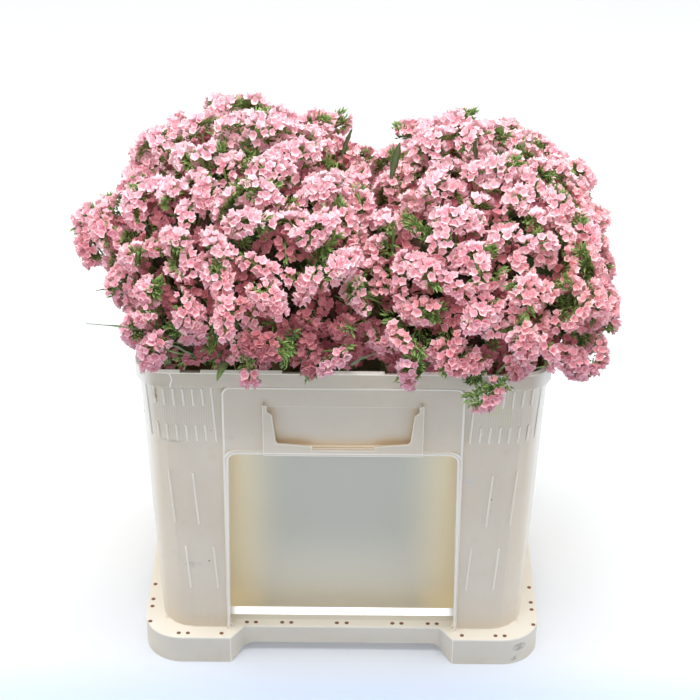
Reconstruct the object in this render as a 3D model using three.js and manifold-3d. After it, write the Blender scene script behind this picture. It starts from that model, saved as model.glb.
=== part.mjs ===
// A flower crate of cut statice: a moulded double-walled plastic crate, drawn as its tub, its
// outer skirt and its base, with two clumps of branching statice sprays standing in it.
// Millimetres, +Z up, the crate's feet at z = 0.
import * as THREE from "three";
import { mergeVertices } from "three/addons/utils/BufferGeometryUtils.js";
import Module from "manifold-3d";

const wasm = await Module();
wasm.setup();

// Crate: driving dimensions
const CRATE = {
  height: 346,
  rimHalf: [196, 146],
  rimRadius: 28,
  rimWidth: 6.5,
  rimPlate: 4,
  bandHeight: 16,
  bandProud: 2.5,
  skirtHalf: [183, 133],
  skirtRadius: 34,
  wall: 3,
  tubHalf: [160, 86],
  tubRadius: 40,
  tubBottom: 20,
  tubFloor: 3,
  tubWall: 2.8,
  seam: 0.3, // clear space between the tub, the skirt and the base
};
const FLANGE = {
  half: [200, 150],
  radius: 38,
  height: 32,
  wall: 4,
  plate: 3,
  footInner: 112,
  railHalf: 99,
  railSet: 19,
  railDepth: 19,
  railBottom: 11,
  railClearHalf: 92,
  sideClearHalf: [66, 50],
};
const WINDOW = { half: [113, 109], top: 254, radius: 8, beadWidth: 4 };
const PANEL = { half: 114, top: 331, radius: 9, proud: 3 };
const CARD = {
  half: 75.8,
  bottom: 262,
  top: 314.4,
  pocketHalf: 72,
  pocketTop: 309,
  lipProud: 5,
  slot: 2.5,
};
const RIBS = {
  width: 2,
  proud: 1.2,
  lean: 0.062,
  long: [187.1, 123.8],
  short: [178, 168.9, 159.8, 150.7, 141.6, 132.5],
  longSpan: [330, 266],
  upperSpan: [328, 308],
  lowerSpan: [286, 267],
  lone: [
    [167.4, 232, 166],
    [144.1, 229, 165.5],
    [154.2, 138, 84],
    [127, 138, 84],
  ],
};
const RIM_SLOT = { centres: [-142.5, -47.5, 47.5, 142.5], width: 18, deep: 3.5, inset: 3.2 };
const CORNER_STEPS = 5;

// Flowers: driving dimensions
const CLUMPS = [
  { centre: [-83, 0, 376], radii: [125, 166, 134], plan: 3.4, rise: 2.5, turn: 0.4 },
  { centre: [130, 0, 370], radii: [125, 166, 128], plan: 3, rise: 2.3, turn: 2.1 },
];
// Where a clump stands out further than its round shape, or falls short of it
const SWELLS = [
  { clump: 0, toward: [-0.96, -0.1, 0.3], gain: 0.24, spread: 0.3 },
  { clump: 0, toward: [0.6, 0.2, 0.77], gain: -0.12, spread: 0.42 },
  { clump: 1, toward: [0.72, 0.1, 0.69], gain: -0.12, spread: 0.42 },
  { clump: 1, toward: [0.93, -0.3, -0.2], gain: -0.13, spread: 0.42 },
];
const SPRAYS_PER_CLUMP = 10;
const SITES_PER_CLUMP = 900;
const TIP_SHARE = 0.8; // where a spray's cell centre lies, as a share of the clump's radius
const HUB_SHARE = 0.46; // where its main stem starts to branch
const LOWEST = { atLeft: 374, fall: 0.085 }; // lower edge of the flowers, lower to the right
const COMB_TURNS = [0, 0.8, -0.8, 1.6, -1.6, 2.4, -2.4, 3.1];
const GOLDEN_TURN = Math.PI * (3 - Math.sqrt(5));
const FOOT_SPREAD = 0.7; // how close the stems stand on the tub's floor

const COMB = {
  length: 48,
  crest: 15.5,
  throat: 7.5,
  spacing: 31,
  margin: 8.5,
  bend: 5,
  halfAngle: 1.15,
  along: 3,
  across: 2,
};
const DOME = { outer: 0.84, relief: 0.045, inner: 0.7, root: 0.76, detail: 4, clear: 8 };
const STEM = { wing: 4.6, thick: 2.6, branch: 3.2, steps: 5, clear: 0.4 };
const LEAF = { length: 62, width: 10, thick: 1.6, arch: 0.22, lift: 0.12, root: 0.74, rise: 14 };
// Leaves that show under the flowers: the clump, and the bearing in degrees seen from above.
const LEAVES = [
  [0, 186],
  [0, 232],
  [0, 258],
  [0, 292],
  [0, 118],
  [0, 72],
  [1, 246],
  [1, 318],
  [1, 98],
];
const GAP = 0.35; // clear space between neighbouring sprays

// Small helpers for vectors, random draws and solids
const vec = (x, y, z) => new THREE.Vector3(x, y, z);
const along = (p, d, k) => p.clone().addScaledVector(d, k);

// A repeatable random number from 0 to 1, for item i and purpose k.
function draw(i, k) {
  let h = Math.imul(i + 1, 0x9e3779b1) ^ Math.imul(k + 1, 0x85ebca6b);
  h = Math.imul(h ^ (h >>> 15), 0x2c1b3c6d);
  h = Math.imul(h ^ (h >>> 12), 0x297a2d39);
  return ((h ^ (h >>> 15)) >>> 0) / 4294967296;
}

// A closed triangle mesh that grows point by point.
class Skin {
  constructor() {
    this.points = [];
    this.faces = [];
  }
  add(p) {
    return this.points.push(p) - 1;
  }
  tri(a, b, c) {
    this.faces.push(a, b, c);
  }
  quad(a, b, c, d) {
    this.tri(a, b, c);
    this.tri(a, c, d);
  }
  // A band of quads from ring a to ring b, where b is further along the tube's direction.
  band(a, b) {
    a.forEach((_, i) => {
      const j = (i + 1) % a.length;
      this.quad(a[i], a[j], b[j], b[i]);
    });
  }
  // A flat or nearly flat cap over a ring, turned to face back along the tube if back is true.
  cap(ring, back) {
    for (let i = 1; i < ring.length - 1; i++) {
      if (back) this.tri(ring[0], ring[i + 1], ring[i]);
      else this.tri(ring[0], ring[i], ring[i + 1]);
    }
  }
  solid() {
    const geometry = new THREE.BufferGeometry().setFromPoints(this.points);
    geometry.setIndex(this.faces);
    return solidOf(geometry);
  }
}

// A three.js geometry as a manifold solid.
function solidOf(geometry) {
  const bare = geometry.clone();
  bare.deleteAttribute("normal");
  bare.deleteAttribute("uv");
  const merged = mergeVertices(bare, 1e-4);
  return new wasm.Manifold(
    new wasm.Mesh({
      numProp: 3,
      vertProperties: merged.attributes.position.array,
      triVerts: new Uint32Array(merged.index.array),
    }),
  );
}

// A manifold solid as a named three.js mesh.
function meshOf(name, solid, material) {
  const made = solid.getMesh();
  const geometry = new THREE.BufferGeometry();
  geometry.setAttribute("position", new THREE.BufferAttribute(made.vertProperties, 3));
  geometry.setIndex(new THREE.BufferAttribute(made.triVerts, 1));
  geometry.computeVertexNormals();
  const mesh = new THREE.Mesh(geometry, material);
  mesh.name = name;
  return mesh;
}

const joined = (solids) => wasm.Manifold.union(solids);

// The largest of a solid's separate bodies: a cut can leave a loose scrap, which is dropped.
function largestBody(solid) {
  return solid.decompose().reduce((a, b) => (a.volume() > b.volume() ? a : b));
}

// Crate
// A rounded rectangle at height z, anticlockwise from above.
function roundedRing([halfX, halfY], radius, z) {
  const points = [];
  const corners = [
    [1, 1, 0],
    [-1, 1, 1],
    [-1, -1, 2],
    [1, -1, 3],
  ];
  for (const [sx, sy, quarter] of corners) {
    for (let i = 0; i <= CORNER_STEPS; i++) {
      const angle = ((quarter + i / CORNER_STEPS) * Math.PI) / 2;
      points.push(
        vec(
          sx * (halfX - radius) + radius * Math.cos(angle),
          sy * (halfY - radius) + radius * Math.sin(angle),
          z,
        ),
      );
    }
  }
  return points;
}

// A closed solid through rings that rise from the first to the last.
function loft(rings) {
  const skin = new Skin();
  const ids = rings.map((ring) => ring.map((p) => skin.add(p)));
  skin.cap(ids[0], true);
  for (let i = 1; i < ids.length; i++) skin.band(ids[i - 1], ids[i]);
  skin.cap(ids[ids.length - 1], false);
  return skin.solid();
}

const grown = ([x, y], by) => [x + by, y + by];

// Where the skirt's outer face stands at height z, as half sizes.
function skirtAt(z) {
  const top = grown(CRATE.rimHalf, -CRATE.bandProud);
  const share = (z - FLANGE.height) / (CRATE.height - CRATE.bandHeight - FLANGE.height);
  return CRATE.skirtHalf.map((low, i) => low + (top[i] - low) * share);
}

// The tub's outer face at height z, as half sizes.
function tubAt(z) {
  const top = grown(CRATE.rimHalf, CRATE.tubWall - CRATE.rimWidth);
  const share = (z - CRATE.tubBottom) / (CRATE.height - CRATE.tubBottom);
  return CRATE.tubHalf.map((low, i) => low + (top[i] - low) * share);
}

const tubRadiusAt = (z) =>
  CRATE.tubRadius +
  ((24 - CRATE.tubRadius) * (z - CRATE.tubBottom)) / (CRATE.height - CRATE.tubBottom);

// A tapered block between heights z0 and z1, whose half sizes and radius are functions of z.
function taper(z0, z1, halfAt, radiusAt) {
  return loft([z0, z1].map((z) => roundedRing(halfAt(z), radiusAt(z), z)));
}

// A flat shape drawn as (x, z) on the skirt's front face, from depth d0 to d1 proud of it.
function onFront(shape, d0, d1) {
  const slope = skirtAt(1)[1] - skirtAt(0)[1];
  const base = skirtAt(0)[1];
  const place = new THREE.Matrix4().set(
    1, 0, 0, 0,
    0, -slope, -1, -base,
    0, 1, 0, 0,
    0, 0, 0, 1,
  );
  const geometry = new THREE.ExtrudeGeometry(shape, {
    depth: d1 - d0,
    bevelEnabled: false,
    curveSegments: 4,
  });
  geometry.translate(0, 0, d0).applyMatrix4(place);
  return solidOf(geometry);
}

// A flat shape from a list of corners.
function outline(points) {
  return new THREE.Shape(points.map(([x, y]) => new THREE.Vector2(x, y)));
}

// A box-like shape with two round upper corners. The sides may lean: half is [bottom, top].
function archShape([halfLow, halfHigh], z0, z1, radius) {
  const shape = new THREE.Shape();
  shape.moveTo(-halfLow, z0);
  shape.lineTo(halfLow, z0);
  shape.lineTo(halfHigh, z1 - radius);
  shape.absarc(halfHigh - radius, z1 - radius, radius, 0, Math.PI / 2, false);
  shape.absarc(-halfHigh + radius, z1 - radius, radius, Math.PI / 2, Math.PI, false);
  return shape;
}

// The flange's plan: a rounded rectangle whose front and back step in between the feet.
function flangeShape(inset) {
  const [hx, hy] = grown(FLANGE.half, -inset);
  const r = FLANGE.radius - inset;
  const railY = FLANGE.half[1] - FLANGE.railSet - inset;
  const foot = FLANGE.footInner + inset;
  const rail = FLANGE.railHalf + inset;
  const shape = new THREE.Shape();
  shape.moveTo(-hx, 0);
  for (const [sx, sy] of [[-1, -1], [1, 1]]) {
    const start = sx < 0 ? Math.PI : 0;
    shape.lineTo(sx * hx, sy * (hy - r));
    shape.absarc(sx * (hx - r), sy * (hy - r), r, start, start + Math.PI / 2, false);
    shape.lineTo(sx * foot, sy * hy);
    shape.lineTo(sx * rail, sy * railY);
    shape.lineTo(-sx * rail, sy * railY);
    shape.lineTo(-sx * foot, sy * hy);
    shape.absarc(-sx * (hx - r), sy * (hy - r), r, start + Math.PI / 2, start + Math.PI, false);
  }
  return shape;
}

// A flat shape in plan, raised from z0 to z1.
function raised(shape, z0, z1) {
  const geometry = new THREE.ExtrudeGeometry(shape, {
    depth: z1 - z0,
    bevelEnabled: false,
    curveSegments: CORNER_STEPS,
  });
  return solidOf(geometry.translate(0, 0, z0));
}

// A plain box between two corners.
function box([x0, y0, z0], [x1, y1, z1]) {
  const geometry = new THREE.BoxGeometry(x1 - x0, y1 - y0, z1 - z0);
  return solidOf(geometry.translate((x0 + x1) / 2, (y0 + y1) / 2, (z0 + z1) / 2));
}

// The clear arch under one side between two feet: half widths at the floor and at its top.
function footArch(halfFloor, halfTop, reach, alongY) {
  const shape = outline([
    [-halfFloor, -1],
    [halfFloor, -1],
    [halfTop, FLANGE.railBottom],
    [-halfTop, FLANGE.railBottom],
  ]);
  const geometry = new THREE.ExtrudeGeometry(shape, { depth: 2 * reach, bevelEnabled: false });
  geometry.translate(0, 0, -reach).rotateX(Math.PI / 2);
  if (alongY) geometry.rotateZ(Math.PI / 2);
  return solidOf(geometry);
}

// The base of the crate: a flange that is a downward channel, with two rails under the windows.
function crateBase() {
  const railY = FLANGE.half[1] - FLANGE.railSet;
  const inner = railY - FLANGE.railDepth;
  const rails = [-1, 1].map((s) => {
    const [y0, y1] = [s * railY, s * inner].sort((a, b) => a - b);
    const hollow = [y0 + FLANGE.plate, y1 - FLANGE.plate];
    const reach = WINDOW.half[0] + 6;
    return box([-reach, y0, FLANGE.railBottom], [reach, y1, FLANGE.height]).subtract(
      box(
        [-reach - 1, hollow[0], FLANGE.railBottom - 1],
        [reach + 1, hollow[1], FLANGE.height - FLANGE.plate],
      ),
    );
  });
  const channel = raised(flangeShape(0), 0, FLANGE.height)
    .subtract(raised(flangeShape(FLANGE.wall), -1, FLANGE.height - FLANGE.plate))
    .subtract(
      taper(-1, FLANGE.height + 1, (z) => grown(skirtAt(z), -CRATE.wall), () => CRATE.skirtRadius - CRATE.wall),
    );
  return joined([channel, ...rails])
    .subtract(footArch(FLANGE.footInner, FLANGE.railClearHalf, FLANGE.half[1] + 1, false))
    .subtract(footArch(FLANGE.sideClearHalf[0], FLANGE.sideClearHalf[1], FLANGE.half[0] + 1, true));
}

// One lip of the card holder, drawn for the left side: a post with a ledge at its foot.
function cardLip(side) {
  const points = [
    [-CARD.half, CARD.bottom],
    [-29, CARD.bottom],
    [-31, 266.9],
    [-61.6, 269.6],
    [-63.7, 272.3],
    [-67, 302.7],
    [-70, 305],
    [-CARD.pocketHalf, 307],
    [-CARD.pocketHalf, CARD.top - 1.5],
    [-CARD.half, CARD.top],
  ];
  return outline(side < 0 ? points : points.map(([x, z]) => [-x, z]).reverse());
}

// The raised panel, the bead round the window and the card holder on one long side.
function frontRelief() {
  const bead = WINDOW.beadWidth;
  const frame = onFront(
    archShape([PANEL.half + 2, PANEL.half], FLANGE.height - 1, PANEL.top, PANEL.radius),
    -1,
    PANEL.proud,
  );
  const pocket = outline([
    [-CARD.pocketHalf + 0.8, CARD.bottom + 2],
    [CARD.pocketHalf - 0.8, CARD.bottom + 2],
    [CARD.pocketHalf - 0.8, CARD.pocketTop],
    [-CARD.pocketHalf + 0.8, CARD.pocketTop],
  ]);
  const lips = [-1, 1].map((s) => onFront(cardLip(s), PANEL.proud - 1, PANEL.proud + CARD.lipProud));
  const ledge = onFront(
    outline([
      [-CARD.half, WINDOW.top + 1],
      [CARD.half, WINDOW.top + 1],
      [CARD.half, CARD.bottom],
      [-CARD.half, CARD.bottom],
    ]),
    PANEL.proud - 1,
    PANEL.proud + CARD.lipProud,
  );
  const strip = onFront(
    archShape([PANEL.half + 1, PANEL.half - 1], FLANGE.height - 1, WINDOW.top + bead, WINDOW.radius),
    PANEL.proud - 1,
    PANEL.proud + 1.5,
  );
  const behindLips = onFront(pocket, 0.6, PANEL.proud + CARD.slot);
  return joined([frame, strip, ledge, ...lips]).subtract(behindLips);
}

// The slim upright ribs beside the panel, laid on the skirt and round the start of its corners.
function frontRibs() {
  const { width, lean, long, short, lone } = RIBS;
  const marks = [
    ...long.map((x) => [x, ...RIBS.longSpan]),
    ...short.map((x) => [x, ...RIBS.upperSpan]),
    ...short.map((x) => [x - 2, ...RIBS.lowerSpan]),
    ...lone,
  ];
  const bars = marks.flatMap(([x, top, bottom]) => {
    const low = x - lean * (top - bottom);
    const corners = [
      [low - width / 2, bottom],
      [low + width / 2, bottom],
      [x + width / 2, top],
      [x - width / 2, top],
    ];
    const other = corners.map(([cx, cz]) => [-cx, cz]).reverse();
    return [corners, other].map((points) => onFront(outline(points), -24, 3));
  });
  const skin = taper(
    FLANGE.height,
    CRATE.height - CRATE.bandHeight,
    (z) => grown(skirtAt(z), RIBS.proud),
    () => CRATE.skirtRadius + RIBS.proud,
  );
  return joined(bars).intersect(skin);
}

// The same solid turned half round, for the far long side.
const turned = (solid) => solid.rotate([0, 0, 180]);

// The tub that holds the flowers: it hangs from just under the rim.
function crateTub() {
  const top = CRATE.height - CRATE.rimPlate - CRATE.seam;
  return taper(CRATE.tubBottom, top, tubAt, tubRadiusAt).subtract(tubInside());
}

// The room inside the tub, which is open at the top.
function tubInside() {
  return taper(
    CRATE.tubBottom + CRATE.tubFloor,
    CRATE.height + 1,
    (z) => grown(tubAt(z), -CRATE.tubWall),
    (z) => tubRadiusAt(z) - CRATE.tubWall,
  );
}

// The outer skirt with its rim, its windows, its card holders and its ribs.
function crateSkirt() {
  const skirtTop = CRATE.height - CRATE.bandHeight;
  const skirt = taper(FLANGE.height + CRATE.seam, skirtTop, skirtAt, () => CRATE.skirtRadius);
  const bandRing = (z) => roundedRing(CRATE.rimHalf, CRATE.rimRadius, z);
  const band = loft([bandRing(skirtTop), bandRing(CRATE.height)]);
  const relief = frontRelief().add(frontRibs());
  const underRim = CRATE.height - CRATE.rimPlate;
  const hollow = taper(
    FLANGE.height - 2,
    underRim,
    (z) => grown(skirtAt(z), -CRATE.wall),
    () => CRATE.rimRadius - CRATE.wall,
  );
  const seat = taper(
    CRATE.tubBottom,
    underRim,
    (z) => grown(tubAt(z), CRATE.seam),
    (z) => tubRadiusAt(z) + CRATE.seam,
  );
  const opening = onFront(
    archShape(WINDOW.half, FLANGE.height - 2, WINDOW.top, WINDOW.radius),
    -8,
    PANEL.proud + CARD.lipProud + 2,
  );
  const slots = RIM_SLOT.centres.map((x) =>
    box(
      [x - RIM_SLOT.width / 2, -CRATE.rimHalf[1] + RIM_SLOT.inset, CRATE.height - RIM_SLOT.deep],
      [x + RIM_SLOT.width / 2, -CRATE.rimHalf[1] + CRATE.rimWidth + 1, CRATE.height + 1],
    ),
  );
  return joined([skirt, band, relief, turned(relief)])
    .trimByPlane([0, 0, 1], FLANGE.height + CRATE.seam)
    .subtract(joined([hollow, seat, opening, turned(opening), tubInside()]))
    .subtract(joined([...slots, ...slots.map(turned)]));
}

// Flowers
// How far the surface stands out in direction u from a clump's centre, as a share of its radii.
function reachOf(clump, u) {
  const { plan, rise } = CLUMPS[clump];
  const level = (Math.abs(u.x) ** plan + Math.abs(u.y) ** plan) ** (rise / plan);
  let reach = (level + Math.abs(u.z) ** rise) ** (-1 / rise);
  for (const swell of SWELLS.filter((s) => s.clump === clump)) {
    const gap = u.distanceTo(vec(...swell.toward).normalize()) / swell.spread;
    reach *= 1 + swell.gain * Math.exp(-gap * gap);
  }
  return reach;
}

// A point at a share of the way from a clump's centre to its surface, in direction u.
function clumpPoint(clump, u, share) {
  const { centre, radii } = CLUMPS[clump];
  const k = reachOf(clump, u) * share;
  return vec(...centre.map((c, i) => c + radii[i] * u.getComponent(i) * k));
}

// How deep a point is in a clump: under 1 inside its surface, over 1 outside.
function depthIn(clump, p) {
  const { centre, radii } = CLUMPS[clump];
  const v = vec(...centre.map((c, i) => (p.getComponent(i) - c) / radii[i]));
  return v.length() / reachOf(clump, v.clone().normalize());
}

// The outward direction of a clump's surface at a point.
function outwardAt(clump, p) {
  const { centre, radii, plan, rise } = CLUMPS[clump];
  const [x, y, z] = centre.map((c, i) => (p.getComponent(i) - c) / radii[i]);
  const level = (Math.abs(x) ** plan + Math.abs(y) ** plan + 1e-9) ** (rise / plan - 1);
  const part = (v, power) => Math.sign(v) * Math.abs(v) ** (power - 1);
  return vec(
    (level * part(x, plan)) / radii[0],
    (level * part(y, plan)) / radii[1],
    part(z, rise) / radii[2],
  ).normalize();
}

// Evenly spread directions over a clump, from straight up to a little below level.
function spiral(clump, count, lowest, i) {
  const c = 1 - ((1 - lowest) * (i + 0.5)) / count;
  const s = Math.sqrt(1 - c * c);
  const turn = i * GOLDEN_TURN + CLUMPS[clump].turn;
  return vec(s * Math.cos(turn), s * Math.sin(turn), c);
}

// True where flowers can be: outside the other clump, above their lower edge, clear of the rim.
function isFree(clump, p, margin) {
  const lower = LOWEST.atLeft - LOWEST.fall * (p.x + CRATE.rimHalf[0]);
  const overCrate =
    Math.abs(p.x) < CRATE.rimHalf[0] + margin && Math.abs(p.y) < CRATE.rimHalf[1] + margin;
  const rimTop = CRATE.height + margin;
  return depthIn(1 - clump, p) > 0.97 && p.z > lower && !(overCrate && p.z < rimTop);
}

// The sprays: for each, its clump, its direction, its cell centre and where its stem branches.
function layOutSprays() {
  const sprays = [];
  CLUMPS.forEach((_, clump) => {
    for (let i = 0; i < SPRAYS_PER_CLUMP; i++) {
      const u = spiral(clump, SPRAYS_PER_CLUMP, -0.1, i);
      const tip = clumpPoint(clump, u, TIP_SHARE);
      if (depthIn(1 - clump, tip) < 0.9) continue;
      const hub = clumpPoint(clump, u, HUB_SHARE);
      sprays.push({ clump, u, tip, hub, combs: [], leaves: [] });
    }
  });
  return sprays;
}

function nearestSpray(sprays, place) {
  return sprays.reduce((a, b) => (a.tip.distanceTo(place) < b.tip.distanceTo(place) ? a : b));
}

// The planes that part a spray from each other spray, half way between their cell centres.
function cellWalls(spray, sprays) {
  return sprays
    .filter((other) => other !== spray)
    .map((other) => {
      const normal = spray.tip.clone().sub(other.tip).normalize();
      const middle = spray.tip.clone().add(other.tip).multiplyScalar(0.5);
      return { normal, offset: normal.dot(middle) + GAP / 2 };
    });
}

// A comb at a site, turned about the outward direction: its run, its crest and its sideways one.
function turnedComb(id, site, spray, turn) {
  const outward = outwardAt(spray.clump, site);
  const away = site.clone().sub(along(spray.hub, spray.u, 60));
  away.addScaledVector(outward, -away.dot(outward)).normalize();
  const run = away.applyAxisAngle(outward, turn).addScaledVector(outward, 0.1 + 0.4 * draw(id, 5));
  run.normalize();
  const crest = outward.addScaledVector(run, -outward.dot(run)).normalize();
  const marks = [-0.38, 0, 0.38].map((s) => along(site, run, s * COMB.length));
  return { id, site, run, crest, across: run.clone().cross(crest), marks };
}

// True if a comb is clear of those laid before it in its spray and of the walls of its cell.
function hasRoom(comb, spray) {
  const apart = (a, b) => a.distanceTo(b) > COMB.spacing;
  return comb.marks.every(
    (mark) =>
      spray.walls.every(({ normal, offset }) => normal.dot(mark) - offset > COMB.margin) &&
      spray.combs.every((other) => other.marks.every((theirs) => apart(mark, theirs))),
  );
}

// The flower combs: laid over the clumps one after another, each turned clear of the rest.
function layOutCombs(sprays) {
  sprays.forEach((spray) => (spray.walls = cellWalls(spray, sprays)));
  for (let id = 0; id < 2 * SITES_PER_CLUMP; id++) {
    const clump = Math.floor(id / SITES_PER_CLUMP);
    const u = spiral(clump, SITES_PER_CLUMP, -0.42, id % SITES_PER_CLUMP);
    const site = clumpPoint(clump, u, 0.93 + 0.13 * draw(id, 3));
    if (!isFree(clump, site, 14)) continue;
    const spray = nearestSpray(sprays, site);
    const jitter = 0.8 * (draw(id, 4) - 0.5);
    const turned = COMB_TURNS.map((turn) => turnedComb(id, site, spray, turn + jitter));
    const comb = turned.find((one) => hasRoom(one, spray));
    if (comb) spray.combs.push(comb);
  }
}

// A comb's middle line, a low arch, at share s of the way from its near end to its far end.
function combLine(comb, s) {
  const t = s - 0.5;
  return along(along(comb.site, comb.run, t * COMB.length), comb.crest, -4 * COMB.bend * t * t);
}

// One flower comb: an arched pad of cupped florets that narrows down to a root in the dome.
function combSolid(comb) {
  const skin = new Skin();
  const ray = (angle) =>
    comb.crest.clone().multiplyScalar(Math.cos(angle)).addScaledVector(comb.across, Math.sin(angle));
  const angleAt = (j) => ((2 * j) / COMB.across - 1) * COMB.halfAngle;
  const rims = [];
  for (let k = 0; k <= COMB.along; k++) {
    const ends = 1 - 0.3 * ((2 * k) / COMB.along - 1) ** 4;
    const row = [];
    for (let j = 0; j <= COMB.across; j++) {
      const seed = comb.id * 64 + k * 8 + j;
      const lift = ((k + j) % 2 ? 1.8 : -1) + 2.4 * (draw(seed, 6) - 0.5);
      const slide = 0.09 * (draw(seed, 7) - 0.5);
      const angle = angleAt(j) + 0.16 * (draw(seed, 8) - 0.5);
      const middle = combLine(comb, k / COMB.along + slide);
      row.push(skin.add(along(middle, ray(angle), COMB.crest * ends + lift)));
    }
    rims.push(row);
  }
  for (let k = 0; k < COMB.along; k++) {
    for (let j = 0; j < COMB.across; j++) {
      const middle = combLine(comb, (k + 0.5) / COMB.along);
      const throat = skin.add(along(middle, ray(angleAt(j + 0.5)), COMB.crest - COMB.throat));
      const loop = [rims[k][j], rims[k][j + 1], rims[k + 1][j + 1], rims[k + 1][j]];
      loop.forEach((corner, i) => skin.tri(corner, loop[(i + 1) % 4], throat));
    }
  }
  const edge = [
    ...rims[0].slice(0, -1),
    ...rims.slice(0, -1).map((row) => row[COMB.across]),
    ...rims[COMB.along].slice(1).reverse(),
    ...rims.slice(1).reverse().map((row) => row[0]),
  ];
  const root = skin.add(comb.root);
  edge.forEach((corner, i) => skin.tri(edge[(i + 1) % edge.length], corner, root));
  return skin.solid();
}

// The dense inside of a clump: a hollow dome of small florets in relief, open below.
function domeSolid(clump) {
  const shell = (detail, shareAt) => {
    const geometry = new THREE.IcosahedronGeometry(1, detail);
    geometry.deleteAttribute("normal");
    geometry.deleteAttribute("uv");
    const even = mergeVertices(geometry, 1e-4);
    const spot = even.attributes.position;
    for (let i = 0; i < spot.count; i++) {
      const u = vec(0, 0, 0).fromBufferAttribute(spot, i).normalize();
      spot.setXYZ(i, ...clumpPoint(clump, u, shareAt(i)).toArray());
    }
    return solidOf(even);
  };
  const relief = (i) => DOME.outer + DOME.relief * (draw(i, 30 + clump) < 0.5 ? 1 : -1);
  return shell(DOME.detail, relief)
    .subtract(shell(2, () => DOME.inner))
    .trimByPlane([0, 0, 1], CRATE.height + DOME.clear);
}

// A straight three-sided twig between two points, that narrows or widens on its way.
function strut(from, to, radiusFrom, radiusTo) {
  const run = to.clone().sub(from).normalize();
  const level = Math.abs(run.z) < 0.9 ? vec(0, 0, 1) : vec(1, 0, 0);
  const a = run.clone().cross(level).normalize();
  const b = run.clone().cross(a);
  const skin = new Skin();
  const ring = (middle, radius) =>
    [0, 1, 2].map((i) => {
      const angle = (i * 2 * Math.PI) / 3;
      return skin.add(along(along(middle, a, radius * Math.cos(angle)), b, radius * Math.sin(angle)));
    });
  const low = ring(from, radiusFrom);
  const high = ring(to, radiusTo);
  skin.cap(low, true);
  skin.band(low, high);
  skin.cap(high, false);
  return skin.solid();
}

const FLOOR = CRATE.tubBottom + CRATE.tubFloor + STEM.clear;

// A main stem's middle at share t of its height: it stands closer in at the floor and opens
// outwards as it rises, and no two stems cross because all open from the same centre line.
function stemPoint(spray, t) {
  const open = FOOT_SPREAD + (1 - FOOT_SPREAD) * t ** 3;
  const z = FLOOR + (spray.hub.z - FLOOR) * t;
  return vec(spray.hub.x * open, spray.hub.y * open, z);
}

// The winged main stem: a flat four-sided section that turns a little as it rises.
function mainStem(spray, index) {
  const skin = new Skin();
  const rings = [];
  for (let i = 0; i <= STEM.steps; i++) {
    const t = i / STEM.steps;
    const middle = stemPoint(spray, t);
    const turn = 2 * Math.PI * draw(index, 20) + 1.2 * t;
    const wing = vec(Math.cos(turn), Math.sin(turn), 0);
    const flat = vec(-Math.sin(turn), Math.cos(turn), 0);
    rings.push(
      [
        along(middle, wing, STEM.wing),
        along(middle, flat, STEM.thick),
        along(middle, wing, -STEM.wing),
        along(middle, flat, -STEM.thick),
      ].map((p) => skin.add(p)),
    );
  }
  skin.cap(rings[0], true);
  for (let i = 1; i < rings.length; i++) skin.band(rings[i - 1], rings[i]);
  skin.cap(rings[STEM.steps], false);
  return skin.solid();
}

// A spray's combs in groups of two or three that lie side by side round its axis.
function groupCombs(spray) {
  const side = spray.u.clone().cross(vec(0.31, 0.22, 0.93)).normalize();
  const up = spray.u.clone().cross(side);
  const bearing = (comb) => {
    const d = comb.site.clone().sub(spray.tip);
    return Math.atan2(d.dot(up), d.dot(side));
  };
  const sorted = [...spray.combs].sort((a, b) => bearing(a) - bearing(b));
  const count = Math.max(1, Math.round(sorted.length / 2.6));
  return Array.from({ length: count }, (_, g) =>
    sorted.slice(Math.round((g * sorted.length) / count), Math.round(((g + 1) * sorted.length) / count)),
  );
}

// The point at a given depth in the dome on the way from a place on the clump down to the hub.
function rootIn(spray, place, share) {
  const depths = [depthIn(spray.clump, spray.hub), depthIn(spray.clump, place)];
  const t = (share - depths[0]) / (depths[1] - depths[0]);
  const root = spray.hub.clone().lerp(place, t);
  root.z = Math.max(root.z, CRATE.height + DOME.clear + 7);
  return root;
}

// A long narrow leaf with a sharp tip, arched outwards from its root in the dome.
function leafSolid([clump, bearing]) {
  const angle = (bearing * Math.PI) / 180;
  const heading = vec(Math.cos(angle), Math.sin(angle), LEAF.lift).normalize();
  const across = heading.clone().cross(vec(0, 0, 1)).normalize();
  const face = across.clone().cross(heading);
  const root = clumpPoint(clump, vec(heading.x, heading.y, 0).normalize(), LEAF.root);
  root.z = CRATE.height + LEAF.rise;
  const stations = [
    [0, 0.5],
    [0.35, 1],
    [0.7, 0.8],
    [1, 0.08],
  ];
  const skin = new Skin();
  const rings = stations.map(([s, wide]) => {
    const drop = LEAF.length * LEAF.arch * s * s;
    const middle = along(along(root, heading, LEAF.length * s), vec(0, 0, -1), drop);
    const ring = [
      along(middle, across, (LEAF.width / 2) * wide),
      along(middle, face, -LEAF.thick / 2),
      along(middle, across, (-LEAF.width / 2) * wide),
      along(middle, face, LEAF.thick / 2),
    ];
    return ring.map((p) => skin.add(p));
  });
  skin.cap(rings[0], true);
  for (let i = 1; i < rings.length; i++) skin.band(rings[i - 1], rings[i]);
  skin.cap(rings[rings.length - 1], false);
  return { root, solid: skin.solid() };
}

// The rim as a ring a little larger than the real one, which the flowers are cut clear of.
function rimKeepOut() {
  const low = CRATE.height - 60;
  const high = CRATE.height + GAP;
  const outer = taper(low, high, () => grown(CRATE.rimHalf, GAP), () => CRATE.rimRadius);
  const inner = taper(
    low - 1,
    high + 1,
    () => grown(CRATE.rimHalf, -CRATE.rimWidth - GAP),
    () => CRATE.rimRadius - CRATE.rimWidth,
  );
  return outer.subtract(inner);
}

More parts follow.
